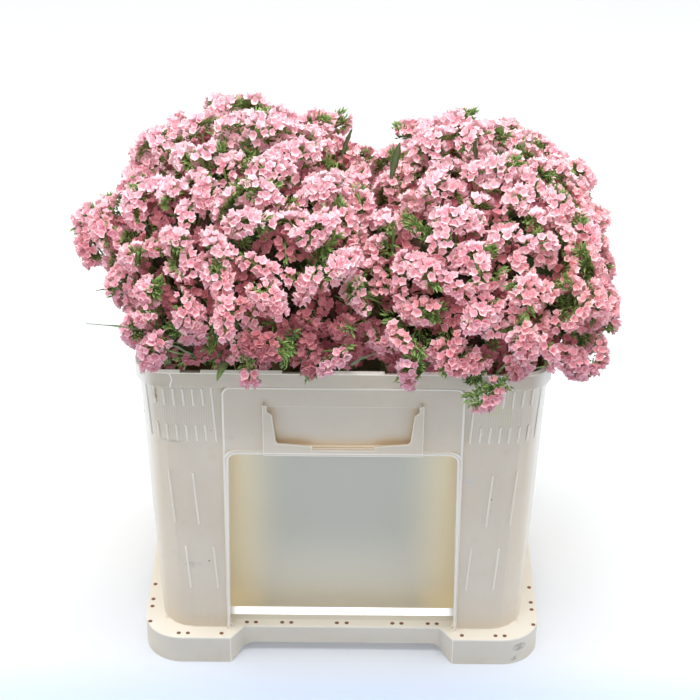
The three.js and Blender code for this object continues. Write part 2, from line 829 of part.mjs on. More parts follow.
// The branch of one group of combs, from a little under the stem's top up into the dome.
function branchSolid(spray, group, order) {
  const middle = vec(0, 0, 0);
  group.forEach((comb) => middle.addScaledVector(comb.site, 1 / group.length));
  const end = rootIn(spray, middle, (DOME.inner + DOME.outer) / 2);
  return strut(stemPoint(spray, 0.98 - 0.055 * order), end, STEM.branch * 0.6, STEM.branch);
}

// One whole spray: its crown is kept inside the spray's own cell, then joins the main stem.
function spraySolid(spray, index, dome, keepOut) {
  spray.combs.forEach((comb) => (comb.root = rootIn(spray, comb.site, DOME.root)));
  const parts = spray.combs.map(combSolid);
  groupCombs(spray).forEach((group, i) => parts.push(branchSolid(spray, group, i)));
  parts.push(...spray.leaves);
  const walled = (solid) =>
    spray.walls.reduce((left, { normal, offset }) => left.trimByPlane(normal.toArray(), offset), solid);
  const cap = largestBody(walled(dome));
  const crown = walled(joined(parts)).add(cap).subtract(keepOut);
  return largestBody(crown.add(mainStem(spray, index)));
}

const moulded = new THREE.MeshStandardMaterial({ color: 0xe9e2d2, roughness: 0.5 });
const petals = new THREE.MeshStandardMaterial({ color: 0xee9fa8, roughness: 0.85 });

const arrangement = new THREE.Group();
arrangement.add(meshOf("crate_tub", crateTub(), moulded));
arrangement.add(meshOf("crate_skirt", crateSkirt(), moulded));
arrangement.add(meshOf("crate_base", crateBase(), moulded));

const sprays = layOutSprays();
layOutCombs(sprays);
LEAVES.map(leafSolid).forEach(({ root, solid }) => nearestSpray(sprays, root).leaves.push(solid));
const bearing = sprays.filter((spray) => spray.combs.length > 0);
const keepOut = rimKeepOut();
const domes = CLUMPS.map((_, clump) => domeSolid(clump));
bearing.forEach((spray, index) => {
  const name = "spray_" + String(index + 1).padStart(2, "0");
  arrangement.add(meshOf(name, spraySolid(spray, index, domes[spray.clump], keepOut), petals));
});

// The origin goes on the floor, under the middle of the whole.
const extent = new THREE.Box3().setFromObject(arrangement);
const middle = extent.getCenter(vec(0, 0, 0));
arrangement.position.set(-middle.x, -middle.y, -extent.min.z);

export default arrangement;
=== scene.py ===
"""The looks of a flower crate of cut pink statice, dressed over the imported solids.

The flowers follow the same rule as the solids: each pad of cupped florets there becomes a fork
of real combs here, at real size. Lengths in the layout are millimetres from the crate's centre.
"""

from functools import partialmethod, reduce
from itertools import product
from math import copysign, cos, exp, pi, radians, sin, sqrt
from types import SimpleNamespace as Record

import bmesh
import bpy
import numpy as np
from mathutils import Matrix, Vector
from numpy.linalg import norm
from numpy.random import default_rng


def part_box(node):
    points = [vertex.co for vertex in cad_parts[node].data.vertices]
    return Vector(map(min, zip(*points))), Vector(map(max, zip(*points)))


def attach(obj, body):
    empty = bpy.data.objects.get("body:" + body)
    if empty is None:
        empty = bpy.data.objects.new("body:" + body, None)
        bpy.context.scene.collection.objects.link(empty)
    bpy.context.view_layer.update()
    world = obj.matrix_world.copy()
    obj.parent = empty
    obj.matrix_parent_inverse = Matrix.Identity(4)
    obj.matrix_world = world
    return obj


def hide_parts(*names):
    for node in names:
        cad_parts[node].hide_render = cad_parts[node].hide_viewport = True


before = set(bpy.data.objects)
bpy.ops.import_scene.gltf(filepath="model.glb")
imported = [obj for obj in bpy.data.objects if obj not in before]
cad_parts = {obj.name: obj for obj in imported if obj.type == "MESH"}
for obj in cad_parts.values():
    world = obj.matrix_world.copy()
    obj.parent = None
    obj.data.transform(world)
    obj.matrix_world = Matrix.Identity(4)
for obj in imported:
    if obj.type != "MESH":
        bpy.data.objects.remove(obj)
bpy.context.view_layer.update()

# The crate's centre in the row frame, in millimetres
base_low, base_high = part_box("crate_base")
CENTRE = np.array([(base_low[i] + base_high[i]) * 500 for i in (0, 1)] + [0.0])


def vec(*v):
    return np.array(v, float)


def unit(v):
    return v / norm(v, axis=-1, keepdims=True)


# The clumps and the combs, as in the solids. LOWEST is the z of the lowest direction, CLEAR the
# least depth in the other clump, and ROOM the way kept from the rim.
RIM_HALF = (196, 146)
RIM_TOP = 346
CLUMPS = [
    Record(centre=vec(-83, 0, 376), radii=vec(125, 166, 134), plan=3.4, rise=2.5, turn=0.4),
    Record(centre=vec(130, 0, 370), radii=vec(125, 166, 128), plan=3, rise=2.3, turn=2.1),
]
# Swells of their surfaces: clump, direction, gain, spread
SWELLS = [
    (0, unit(vec(-0.96, -0.1, 0.3)), 0.24, 0.3),
    (0, unit(vec(0.6, 0.2, 0.77)), -0.12, 0.42),
    (1, unit(vec(0.72, 0.1, 0.69)), -0.12, 0.42),
    (1, unit(vec(0.93, -0.3, -0.2)), -0.13, 0.42),
]
SPRAYS_PER_CLUMP = 10
SITES_PER_CLUMP = 900
TIP_SHARE = 0.8
HUB_SHARE = 0.46
HUB_LEAD = 60
TIP_LOWEST, SITE_LOWEST = -0.1, -0.42
TIP_CLEAR, SITE_CLEAR = 0.9, 0.97
PAD_ROOM = 14
LOWEST_AT_LEFT = 374
LOWEST_FALL = 0.085
COMB_TURNS = (0, 0.8, -0.8, 1.6, -1.6, 2.4, -2.4, 3.1)
COMB_LENGTH = 48
COMB_SPACING = 31
COMB_MARGIN = 8.5
COMB_ENDS = (-0.38, 0, 0.38)
GAP = 0.35
GOLDEN_TURN = pi * (3 - sqrt(5))
FLOOR_Z = 23.4
FOOT_SPREAD = 0.7
LEAVES = [(0, 186), (0, 232), (0, 258), (0, 292), (0, 118), (0, 72), (1, 246), (1, 318), (1, 98)]

# The real combs: a fork of three on each pad, fillers where a clump is bare, outer ones that
# loosen its outline, and a ring in the crate's mouth
FORK_ANGLES = (-0.95, 0.0, 0.95)
FLORET_PITCH = 3.0
FLORET_HEIGHT = 9.2
FILLER_SITES = 3000
FILLER_SPACING = 11.0
FILLER_ROOM = 9
DEEP_SHARE = 0.9
OUTER_SITES = 64
OUTER_ROOM = 16
MOUTH_HALF = (171, 123)
MOUTH_COMBS = 84
MOUTH_Z = 338
# The right clump's combs lie right of this x
CLUMP_SPLIT = 20
FULL_TURN = 6.28
# First item numbers and seeds, so that no two kinds share their draws
OUTER_FIRST, MOUTH_FIRST, LOOSE_FIRST = 20000, 30000, 40000
PAD_SEED, SINGLE_SEED, SPRAY_SEED, CORE_SEED, RICH_SEED, PLAIN_SEED = 5000, 9000, 900, 70, 40, 60
# The dark gap that the photograph shows over the rim: middle x, half width, innermost y, top
RECESS = (-28, 57, -60, 405)

# Single combs that stand out at the edge of the flowers, from the crate's centre
LOOSE_COMBS = [(-190, 20, 496), (-176, 10, 506), (-160, 30, 497), (-140, 20, 517), (-205, 0, 462)]
LOOSE_COMBS += [(-112, 0, 525), (-84, -5, 535), (-66, 0, 523), (122, -4, 523), (76, 20, 501)]
LOOSE_COMBS += [(88, 10, 510), (-250, -14, 432), (242, -10, 412)]

# Single leaf blades: root, tip, width. All but the last two show in the photograph
BLADES = [
    ((-150, -138, 379), (-234, -156, 408), 5.0),
    ((-127, -134, 346), (-160, -184, 406), 7.0),
    ((-163, -134, 346), (-172, -176, 390), 5.0),
    ((-160, -134, 346), (-168, -176, 396), 4.0),
    ((-15, -134, 344), (0, -182, 396), 4.5),
    ((-11, -134, 344), (5, -182, 390), 4.5),
    ((2, -134, 344), (29, -184, 395), 5.5),
    ((-172, -52, 428), (-202, -66, 470), 12.0),
    ((43, -34, 492), (50, -34, 528), 8.0),
    ((-92, -8, 510), (-84, -10, 540), 5.0),
    ((-4, -6, 500), (6, -10, 530), 5.0),
    ((124, -8, 494), (119, -14, 526), 5.0),
    ((176, -96, 366), (214, -128, 352), 8.0),
    ((60, -120, 340), (84, -141, 372), 6.0),
    ((120, -118, 338), (128, -146, 366), 6.0),
    ((-60, 120, 340), (-84, 136, 380), 8.0),
    ((90, 120, 340), (112, 138, 378), 8.0),
]
BLADE_STEPS, BLADE_DROP, BLADE_LIFT = 17, 0.1, 6
LEAF_LENGTH, LEAF_WIDTH, LEAF_DROP, LEAF_SHARE, LEAF_RISE = 60, 9, 0.12, 0.74, 14


# Small helpers
def in_scene(name, data):
    piece = bpy.data.objects.new(name, data)
    bpy.context.scene.collection.objects.link(piece)
    return piece


def draw(i, k):
    """A repeatable number from 0 to 1 for item i and purpose k, as the solids draw theirs."""
    m = 0xFFFFFFFF
    h = ((i + 1) * 0x9E3779B1 & m) ^ ((k + 1) * 0x85EBCA6B & m)
    h = (h ^ (h >> 15)) * 0x2C1B3C6D & m
    h = (h ^ (h >> 12)) * 0x297A2D39 & m
    return (h ^ (h >> 15)) / 4294967296


def turned(v, axis, angle):
    """v turned about a unit axis by an angle, by Rodrigues' formula."""
    c, s = cos(angle), sin(angle)
    return v * c + np.cross(axis, v) * s + axis * (axis @ v) * (1 - c)


# The layout rule of the solids
def reach_of(clump, u):
    """How far a clump's surface stands out in direction u, as a share of its radii."""
    c = CLUMPS[clump]
    level = (abs(u[0]) ** c.plan + abs(u[1]) ** c.plan) ** (c.rise / c.plan)
    reach = (level + abs(u[2]) ** c.rise) ** (-1 / c.rise)
    for owner, toward, gain, spread in SWELLS:
        if owner == clump:
            gap = norm(u - toward) / spread
            reach *= 1 + gain * exp(-gap * gap)
    return reach


def clump_point(clump, u, share):
    c = CLUMPS[clump]
    return c.centre + c.radii * u * reach_of(clump, u) * share


def depth_in(clump, p):
    """Under 1 inside a clump's surface, over 1 outside it."""
    c = CLUMPS[clump]
    v = (p - c.centre) / c.radii
    n = norm(v)
    return n / reach_of(clump, v / n)


def outward_at(clump, p):
    """The outward direction of a clump's surface at p."""
    c = CLUMPS[clump]
    x, y, z = (p - c.centre) / c.radii
    level = (abs(x) ** c.plan + abs(y) ** c.plan + 1e-9) ** (c.rise / c.plan - 1)

    def part(v, power):
        return copysign(abs(v) ** (power - 1), v)

    slopes = vec(level * part(x, c.plan), level * part(y, c.plan), part(z, c.rise))
    return unit(slopes / c.radii)


def directions(count, lowest):
    """For each clump, evenly spread directions from straight up to a lowest z, with a number."""
    for number in range(len(CLUMPS) * count):
        clump, i = divmod(number, count)
        c = 1 - ((1 - lowest) * (i + 0.5)) / count
        s = sqrt(1 - c * c)
        turn = i * GOLDEN_TURN + CLUMPS[clump].turn
        yield number, clump, vec(s * cos(turn), s * sin(turn), c)


def is_free(clump, p, margin):
    lower = LOWEST_AT_LEFT - LOWEST_FALL * (p[0] + RIM_HALF[0])
    over = abs(p[0]) < RIM_HALF[0] + margin and abs(p[1]) < RIM_HALF[1] + margin
    clear = not (over and p[2] < RIM_TOP + margin)
    return depth_in(1 - clump, p) > SITE_CLEAR and p[2] > lower and clear


def lay_out_sprays():
    sprays = []
    for _, clump, u in directions(SPRAYS_PER_CLUMP, TIP_LOWEST):
        tip = clump_point(clump, u, TIP_SHARE)
        if depth_in(1 - clump, tip) < TIP_CLEAR:
            continue
        spray = Record(clump=clump, u=u, tip=tip, hub=clump_point(clump, u, HUB_SHARE))
        spray.combs, spray.real, spray.leaves, spray.blades = [], [], [], []
        sprays.append(spray)
    return sprays


def nearest_spray(sprays, place):
    return min(sprays, key=lambda s: norm(s.tip - place))


def cell_walls(spray, sprays):
    walls = []
    for other in sprays:
        if other is not spray:
            normal = unit(spray.tip - other.tip)
            walls.append((normal, normal @ (spray.tip + other.tip) / 2 + GAP / 2))
    return walls


def turned_comb(number, site, spray, turn):
    outward = outward_at(spray.clump, site)
    away = site - (spray.hub + HUB_LEAD * spray.u)
    away = unit(away - outward * (away @ outward))
    run = unit(turned(away, outward, turn) + outward * (0.1 + 0.4 * draw(number, 5)))
    crest = unit(outward - run * (outward @ run))
    marks = [site + run * s * COMB_LENGTH for s in COMB_ENDS]
    across = np.cross(run, crest)
    return Record(number=number, site=site, marks=marks, run=run, crest=crest, across=across)


def has_room(comb, spray):
    for mark in comb.marks:
        if any(n @ mark - offset <= COMB_MARGIN for n, offset in spray.walls):
            return False
        for other in spray.combs:
            if any(norm(mark - theirs) <= COMB_SPACING for theirs in other.marks):
                return False
    return True


def lay_out_combs(sprays):
    for spray in sprays:
        spray.walls = cell_walls(spray, sprays)
    for number, clump, u in directions(SITES_PER_CLUMP, SITE_LOWEST):
        site = clump_point(clump, u, 0.93 + 0.13 * draw(number, 3))
        if not is_free(clump, site, PAD_ROOM):
            continue
        spray = nearest_spray(sprays, site)
        jitter = 0.8 * (draw(number, 4) - 0.5)
        for turn in COMB_TURNS:
            comb = turned_comb(number, site, spray, turn + jitter)
            if has_room(comb, spray):
                spray.combs.append(comb)
                break


# Meshes from many copies of small shapes
def tones_of(*parts):
    """The four numbers of each point, from four arrays or numbers."""
    return np.stack(np.broadcast_arrays(*parts), axis=-1).astype(float)


class Heap:
    """Points, triangles and point colours that are gathered copy by copy into one mesh."""

    def __init__(self):
        self.points, self.faces, self.tones, self.count = [], [], [], 0

    def add(self, points, faces, tones):
        self.points.append(points)
        self.faces.append(faces + self.count)
        self.tones.append(tones)
        self.count += len(points)

    def stamp(self, shape, origins, axes, scales, tints):
        """Copies of a shape. Each is scaled, turned to its three axes and moved to its origin.

        shape is (points, triangles, share along, side). tints are two numbers for each copy.
        A point's colour is its share along, its copy's two tints, and its side.
        """
        points, faces, share, side = shape
        copies, n = len(origins), len(points)
        if copies == 0:
            return
        placed = np.einsum("kij,nj->kni", axes, points) * scales[:, None, None] + origins[:, None, :]
        every = faces[None] + (np.arange(copies) * n)[:, None, None]
        tones = tones_of(share, tints[:, :1], tints[:, 1:], side)
        self.add(placed.reshape(-1, 3), every.reshape(-1, 3), tones.reshape(-1, 4))

    def build(self, name, material):
        mesh = bpy.data.meshes.new(name)
        points = (np.concatenate(self.points) + CENTRE) / 1000
        faces = np.concatenate(self.faces).astype(np.int32)
        mesh.vertices.add(len(points))
        mesh.vertices.foreach_set("co", points.astype(np.float32).ravel())
        mesh.loops.add(faces.size)
        mesh.loops.foreach_set("vertex_index", faces.ravel())
        mesh.polygons.add(len(faces))
        mesh.polygons.foreach_set("loop_start", np.arange(0, faces.size, 3, dtype=np.int32))
        mesh.polygons.foreach_set("use_smooth", np.zeros(len(faces), bool))
        tone = mesh.color_attributes.new("tone", "FLOAT_COLOR", "POINT")
        tone.data.foreach_set("color", np.concatenate(self.tones).astype(np.float32).ravel())
        mesh.update(calc_edges=True)
        mesh.validate()
        piece = in_scene(name, mesh)
        mesh.materials.append(material)
        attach(piece, "root")
        return piece


def axes_about(direction, spin):
    """Three axes for each copy: the third is its direction, and the first is turned by spin."""
    helper = np.where(np.abs(direction[:, 2:3]) < 0.9, vec(0, 0, 1), vec(1, 0, 0))
    a = unit(np.cross(helper, direction))
    b = np.cross(direction, a)
    c, s = np.cos(spin)[:, None], np.sin(spin)[:, None]
    return np.stack([a * c + b * s, b * c - a * s, direction], axis=2)


def ring(count, radius, height, turn=0.0):
    a = np.arange(count) * 2 * pi / count + turn
    radius = np.broadcast_to(radius, count)
    height = np.broadcast_to(height, count)
    return np.stack([radius * np.cos(a), radius * np.sin(a), height], axis=1)


def double_fan(count):
    """Triangles from a ring of points, numbered from 1, to point 0 under it and one over it."""
    pairs = [(1 + i, 1 + (i + 1) % count) for i in range(count)]
    return [face for a, b in pairs for face in ((0, b, a), (count + 1, a, b))]


def add_rings(heap, rings, ends, tones, turned_over=False):
    """A closed skin over rings of points and two end points, with the share along as first tone."""
    count, sides = rings.shape[:2]
    faces = []
    for i in range(count - 1):
        for j in range(sides):
            k = (j + 1) % sides
            a, b = i * sides, (i + 1) * sides
            faces += [(a + j, a + k, b + k), (a + j, b + k, b + j)]
    low, high = count * sides, count * sides + 1
    for j in range(sides):
        k = (j + 1) % sides
        faces += [(low, k, j), (high, low - sides + j, low - sides + k)]
    faces = np.array(faces)[:, [0, 2, 1] if turned_over else [0, 1, 2]]
    share = np.concatenate([np.repeat(np.linspace(0, 1, count), sides), [0, 1]])
    heap.add(np.concatenate([rings.reshape(-1, 3), ends]), faces, tones_of(share, *tones))


def floret_shape(rng, rich):
    """A papery calyx: a funnel whose lip has five lobes, closed inside down to its throat.

    The foot is one point. A rich shape has a waist ring at 46 % of the height. The lip has ten
    points, by turns a lobe's tip and the notch beside it.
    """
    lobe = rng.uniform(3.6, 5.0, 5)
    notch = rng.uniform(2.9, 4.0, 5)
    tall = FLORET_HEIGHT * rng.uniform(0.86, 1.08, 5)
    low = FLORET_HEIGHT * rng.uniform(0.74, 0.96, 5)
    radius = np.stack([lobe, notch], axis=1).ravel()
    height = np.stack([tall, low], axis=1).ravel()
    lip = ring(10, radius, height) + vec(*rng.uniform(-0.6, 0.6, 2), 0)
    foot, throat = vec(0, 0, 0), vec(0, 0, FLORET_HEIGHT * 0.5)
    if rich:
        faces = []
        waist = ring(5, 1.9, FLORET_HEIGHT * 0.46)
        points = np.vstack([foot, waist, lip, throat])
        for i in range(5):
            j = (i + 1) % 5
            a, b, c, d = 6 + 2 * i, 7 + 2 * i, 6 + (2 * i + 2) % 10, 16
            faces += [(0, 1 + j, 1 + i), (1 + i, 1 + j, b), (1 + i, b, a), (1 + j, c, b)]
            faces += [(d, a, b), (d, b, c)]
        share = np.array([0.0] + [0.5] * 5 + [1.0, 0.9] * 5 + [0.25])
    else:
        points = np.vstack([foot, lip, throat])
        faces = double_fan(10)
        share = np.array([0.0] + [1.0, 0.9] * 5 + [0.25])
    side = np.zeros(len(points))
    side[-1] = 1
    return points, np.array(faces), share, side


def spike_shape(width, length, bulge):
    """A pointed scale: three sides, widest at a share of its length."""
    points = np.vstack([vec(0, 0, 0), ring(3, width, length * bulge), vec(0, 0, length)])
    faces = [(0, 2, 1), (0, 3, 2), (0, 1, 3), (4, 1, 2), (4, 2, 3), (4, 3, 1)]
    return points, np.array(faces), np.array([0, 0.4, 0.4, 0.4, 1.0]), np.zeros(5)


def corolla_shape():
    """The tiny open flower in a calyx: five rounded pointed petals in a shallow star."""
    tips = ring(5, 1.9, 5.2)
    dips = ring(5, 0.7, 4.6, pi / 5)
    star = np.stack([tips, dips], axis=1).reshape(-1, 3)
    points = np.vstack([vec(0, 0, 3.4), star, vec(0, 0, 4.3)])
    share = np.array([0.0] + [1.0] * 10 + [0.5])
    return points, np.array(double_fan(10)), share, np.full(12, 2.0)


def tube(heap, path, radii, sides, tint, wings=0.0):
    """A closed tube along a path. Wings stretch its section to flat ridges, which turn slowly."""
    path = np.asarray(path)
    heading = unit(np.gradient(path, axis=0))
    helper = vec(0, 0, 1) if abs(heading[0][2]) < 0.9 else vec(1, 0, 0)
    side = unit(helper - heading * (heading @ helper)[:, None])
    other = np.cross(heading, side)
    n = len(path)
    angle = np.arange(sides) * 2 * pi / sides
    twist = np.linspace(0, 1.2, n)[:, None]
    reach = np.asarray(radii)[:, None] * (1 + wings * (np.arange(sides) % 2 == 0))
    a = angle[None] + twist
    rings = (
        path[:, None]
        + side[:, None] * (reach * np.cos(a))[..., None]
        + other[:, None] * (reach * np.sin(a))[..., None]
    )
    add_rings(heap, rings, path[[0, -1]], (tint, 0.5, 0))


def curve_between(start, end, lean, steps):
    """A gentle curve from start to end that leaves in the direction of lean."""
    t = np.linspace(0, 1, steps)[:, None]
    span = norm(end - start)
    bend = start + unit(lean) * span * 0.5
    return (1 - t) ** 2 * start + 2 * t * (1 - t) * bend + t**2 * end


# Statice
RICH = [floret_shape(default_rng(RICH_SEED + i), True) for i in range(4)]
PLAIN = [floret_shape(default_rng(PLAIN_SEED + i), False) for i in range(3)]
BRACT = spike_shape(1.35, 7.6, 0.35)
BUD = spike_shape(1.3, 8.8, 0.4)
COROLLA = corolla_shape()


def real_comb(pad, angle, rng, height, deep):
    """One real comb of a pad: where its florets stand, in two ranks along an arched line.

    Its crest is the pad's, leant over by an angle. Point s of the line, from 0 to 1, is at
    centre + run (s - 1/2) length - crest 4 bend (s - 1/2)^2. Each floret leans out to its rank's
    side, and towards the nearer end of the line.
    """
    crest = unit(cos(angle) * pad.crest + sin(angle) * pad.across)
    yaw = rng.uniform(-0.28, 0.28)
    run = turned(pad.run, crest, yaw)
    run = unit(run + crest * rng.uniform(-0.12, 0.25))
    crest = unit(crest - run * (crest @ run))
    across = np.cross(run, crest)
    length = COMB_LENGTH * rng.uniform(0.46, 0.84)
    centre = pad.site + crest * height + pad.run * rng.uniform(-4, 5)
    bend = rng.uniform(3.0, 7.0)
    count = int(length / FLORET_PITCH)
    rank = np.repeat([-1.0, 1.0], count)
    s = (np.tile(np.arange(count), 2) + 0.25 + 0.25 * (rank + 1)) / count
    s = np.clip(s + rng.normal(0, 0.3 / count, len(s)), 0, 1)
    t = s - 0.5
    line = centre + run * (t * length)[:, None] - crest * (4 * bend * t * t)[:, None]
    tangent = unit(run * length - crest * (8 * bend * t)[:, None])
    up = unit(crest - tangent * (tangent @ crest)[:, None])
    lean = rank * rng.uniform(0.1, 0.85, len(s))
    axis = up * np.cos(lean)[:, None] + across * np.sin(lean)[:, None]
    axis = axis + tangent * (0.85 * t + 0.1)[:, None] + rng.normal(0, 0.26, axis.shape)
    young = np.clip((s - 0.78) / 0.22, 0, 1)
    scale = rng.uniform(0.78, 1.16, len(s)) * (1 - 0.3 * young)
    beside = across * (rank * rng.uniform(0.4, 2.2, len(s)))[:, None]
    origin = line + beside + up * rng.uniform(-1.6, 0.8, len(s))[:, None]
    # Deep combs get the lowest tones, which the petal material paints darker as shade inside the
    # clump
    tone = rng.uniform(0.02, 0.3) if deep else rng.uniform(0.4, 1.0)
    comb = Record(origin=origin, axis=unit(axis), scale=scale, rank=rank, s=s, line=line[:count])
    comb.run, comb.crest, comb.across, comb.tone, comb.deep = run, crest, across, tone, deep
    return comb


def plant_comb(florets, greens, comb, rng):
    """Puts one comb's florets, bracts, unopened tip and stalk into the two heaps."""
    n = len(comb.s)
    tints = np.stack([rng.uniform(size=n), np.full(n, comb.tone)], axis=1)
    closed = rng.choice((0.0, 0.14, 0.3, 1.0), p=(0.5, 0.24, 0.2, 0.06))
    open_ = comb.s < 1 - closed if closed else np.ones(n, bool)
    spin = rng.uniform(0, 2 * pi, n)
    shapes = PLAIN if comb.deep else RICH
    kind = rng.integers(0, len(shapes), n)
    axes = axes_about(comb.axis, spin)
    for k, shape in enumerate(shapes):
        pick = (kind == k) & open_
        florets.stamp(shape, comb.origin[pick], axes[pick], comb.scale[pick], tints[pick])
    if not comb.deep:
        pick = open_ & (rng.uniform(size=n) < 0.12)
        florets.stamp(COROLLA, comb.origin[pick], axes[pick], comb.scale[pick], tints[pick])
    outer = comb.across * comb.rank[:, None]
    for shift in (-1.5,) if comb.deep else (-1.6, 1.6):
        foot = comb.origin + outer * 1.5 + comb.run * shift - comb.crest * 3.2
        heading = unit(comb.axis + outer * 0.3 + rng.normal(0, 0.22, (n, 3)))
        size = comb.scale * rng.uniform(0.75, 1.15, n)
        greens.stamp(BRACT, foot, axes_about(heading, spin), size, tints)
    count = int((~open_).sum()) * 2
    if count:
        pick = np.repeat(np.flatnonzero(~open_), 2)
        fan = unit(comb.axis[pick] * 0.8 + comb.run * 0.5 + rng.normal(0, 0.34, (count, 3)))
        foot = comb.origin[pick] + rng.normal(0, 1.1, (count, 3))
        own = np.stack([rng.uniform(0.5, 1, count), np.full(count, 1.0)], axis=1)
        greens.stamp(BUD, foot, axes_about(fan, spin[pick]), rng.uniform(0.8, 1.2, count), own)
    stalk = (comb.line - comb.crest)[:: max(1, len(comb.line) // 6)]
    tube(greens, stalk, np.full(len(stalk), 1.2), 4, comb.tone)


def marks_of(comb):
    line = comb.line
    return line[[0, len(line) // 2, -1]] + comb.crest * 4


def in_recess(site):
    middle, half, near, top = RECESS
    return abs(site[0] - middle) < half and site[1] < near and site[2] < top


def lay_out_real_combs(sprays):
    """Each pad's fork of combs, then single combs wherever the clumps are still bare."""
    marks = []
    for spray in sprays:
        for pad in spray.combs:
            rng = default_rng(PAD_SEED + pad.number)
            forks = []
            for angle in FORK_ANGLES:
                height = rng.uniform(5.0, 8.0) if angle else rng.uniform(6.5, 9.5)
                lean = angle + rng.uniform(-0.2, 0.2)
                forks.append(real_comb(pad, lean, rng, height, in_recess(pad.site)))
            spray.real.append((pad.site - pad.crest * 3, forks))
            marks += [marks_of(comb) for comb in forks]
    marks = [np.concatenate(marks)]
    for number, clump, u in directions(OUTER_SITES, TIP_LOWEST):
        site = clump_point(clump, u, 1.02 + 0.08 * draw(number, 51))
        loose = u[0] < 0.0 or u[1] < -0.5
        if is_free(clump, site, OUTER_ROOM) and loose and draw(number, 52) < 0.6:
            plant_single(sprays, site, number + OUTER_FIRST, 0.8 * (draw(number, 53) - 0.5), marks)
    for number, place in enumerate(LOOSE_COMBS):
        site, angle = vec(*place), 0.4 * (draw(number, 54) - 0.5)
        out = unit(site - CLUMPS[int(place[0] > CLUMP_SPLIT)].centre)
        plant_single(sprays, site, number + LOOSE_FIRST, angle, marks, out=out)
    for number, clump, u in directions(FILLER_SITES, SITE_LOWEST):
        share = 0.84 + 0.13 * draw(number, 41)
        site = clump_point(clump, u, share)
        if is_free(clump, site, FILLER_ROOM):
            rolled = draw(number, 43) < 0.16 and share > DEEP_SHARE
            angle = (draw(number, 44) - 0.5) * (4.4 if rolled else 0.6)
            deep = share < DEEP_SHARE or in_recess(site)
            plant_single(sprays, site, number, angle, marks, deep, FILLER_SPACING)
    for number in range(MOUTH_COMBS):
        turn = 2 * pi * (number + 0.6 * draw(number, 61)) / MOUTH_COMBS
        around = vec(cos(turn), sin(turn), 0)
        edge = 1 / norm(around[:2] / MOUTH_HALF, 8)
        site = around * edge * (0.9 + 0.1 * draw(number, 62))
        site[2] = MOUTH_Z + 16 * draw(number, 63)
        if in_recess(site):
            continue
        out = unit(around * (0.4 + 0.5 * draw(number, 64)) + vec(0, 0, 1))
        plant_single(sprays, site, number + MOUTH_FIRST, draw(number, 65) - 0.5, marks, out=out)


def plant_single(sprays, site, number, angle, marks, deep=False, spacing=0.0, out=None):
    """One more real comb at a site, given to the nearest spray, if its middle and ends have room.

    Its crest points out of its clump, or along out if that is given.
    """
    spray = nearest_spray(sprays, site)
    pad = turned_comb(number, site, spray, FULL_TURN * draw(number, 42))
    if out is not None:
        run = unit(np.cross(out, vec(draw(number, 66) - 0.5, draw(number, 67) - 0.5, 0.2)))
        pad.run, pad.crest, pad.across = run, out, np.cross(run, out)
    rng = default_rng(SINGLE_SEED + number)
    comb = real_comb(pad, angle, rng, 4.0, deep)
    near = marks_of(comb)
    if spacing:
        taken = np.concatenate(marks)
        if norm(taken[:, None] - near[None], axis=2).min() <= spacing:
            return
    spray.real.append((site - pad.crest * 8, [comb]))
    marks.append(near)


def stem_point(spray, t):
    opened = FOOT_SPREAD + (1 - FOOT_SPREAD) * t**3
    x, y, z = spray.hub
    return vec(x * opened, y * opened, FLOOR_Z + (z - FLOOR_Z) * t)


def leaf_root(clump, bearing):
    angle = radians(bearing)
    root = clump_point(clump, vec(cos(angle), sin(angle), 0), LEAF_SHARE)
    root[2] = RIM_TOP + LEAF_RISE
    return root


def plant_leaf(heap, clump, bearing):
    """A long leaf that hangs out under a clump, where the solids have one."""
    angle = radians(bearing)
    heading = unit(vec(cos(angle), sin(angle), 0.12))
    root = leaf_root(clump, bearing)
    tip = root + heading * LEAF_LENGTH
    plant_blade(heap, root, tip, LEAF_WIDTH, LEAF_DROP, draw(int(bearing), 1))


def plant_blade(heap, root, tip, width, drop, tint):
    """A leaf with a waved edge: a thin closed blade, folded a little along its midrib."""
    length = norm(tip - root)
    heading = unit(tip - root)
    across = unit(np.cross(heading, vec(0.1, 0.3, 1)))
    face = np.cross(across, heading)
    s = np.linspace(0, 1, BLADE_STEPS)
    wide = width / 2 * np.interp(s, [0, 0.12, 0.4, 0.7, 0.9, 1], [0.35, 0.6, 1, 0.85, 0.45, 0.04])
    wave = 0.9 * np.sin(s * 21 + tint * 9)
    middle = root + heading * (length * s)[:, None] - vec(0, 0, 1) * (length * drop * s * s)[:, None]
    left = middle + across * wide[:, None] + face * (0.22 * wide + wave * wide / width)[:, None]
    right = middle - across * wide[:, None] + face * (0.22 * wide - wave * wide / width)[:, None]
    over = middle + face * 0.35
    under = middle - face * 0.35
    rings = np.stack([left, over, right, under], axis=1)
    side = np.concatenate([np.tile([0.0, 1.0, 0.0, 1.0], BLADE_STEPS), [1, 1]])
    add_rings(heap, rings, middle[[0, -1]], (tint, 0, side), turned_over=True)


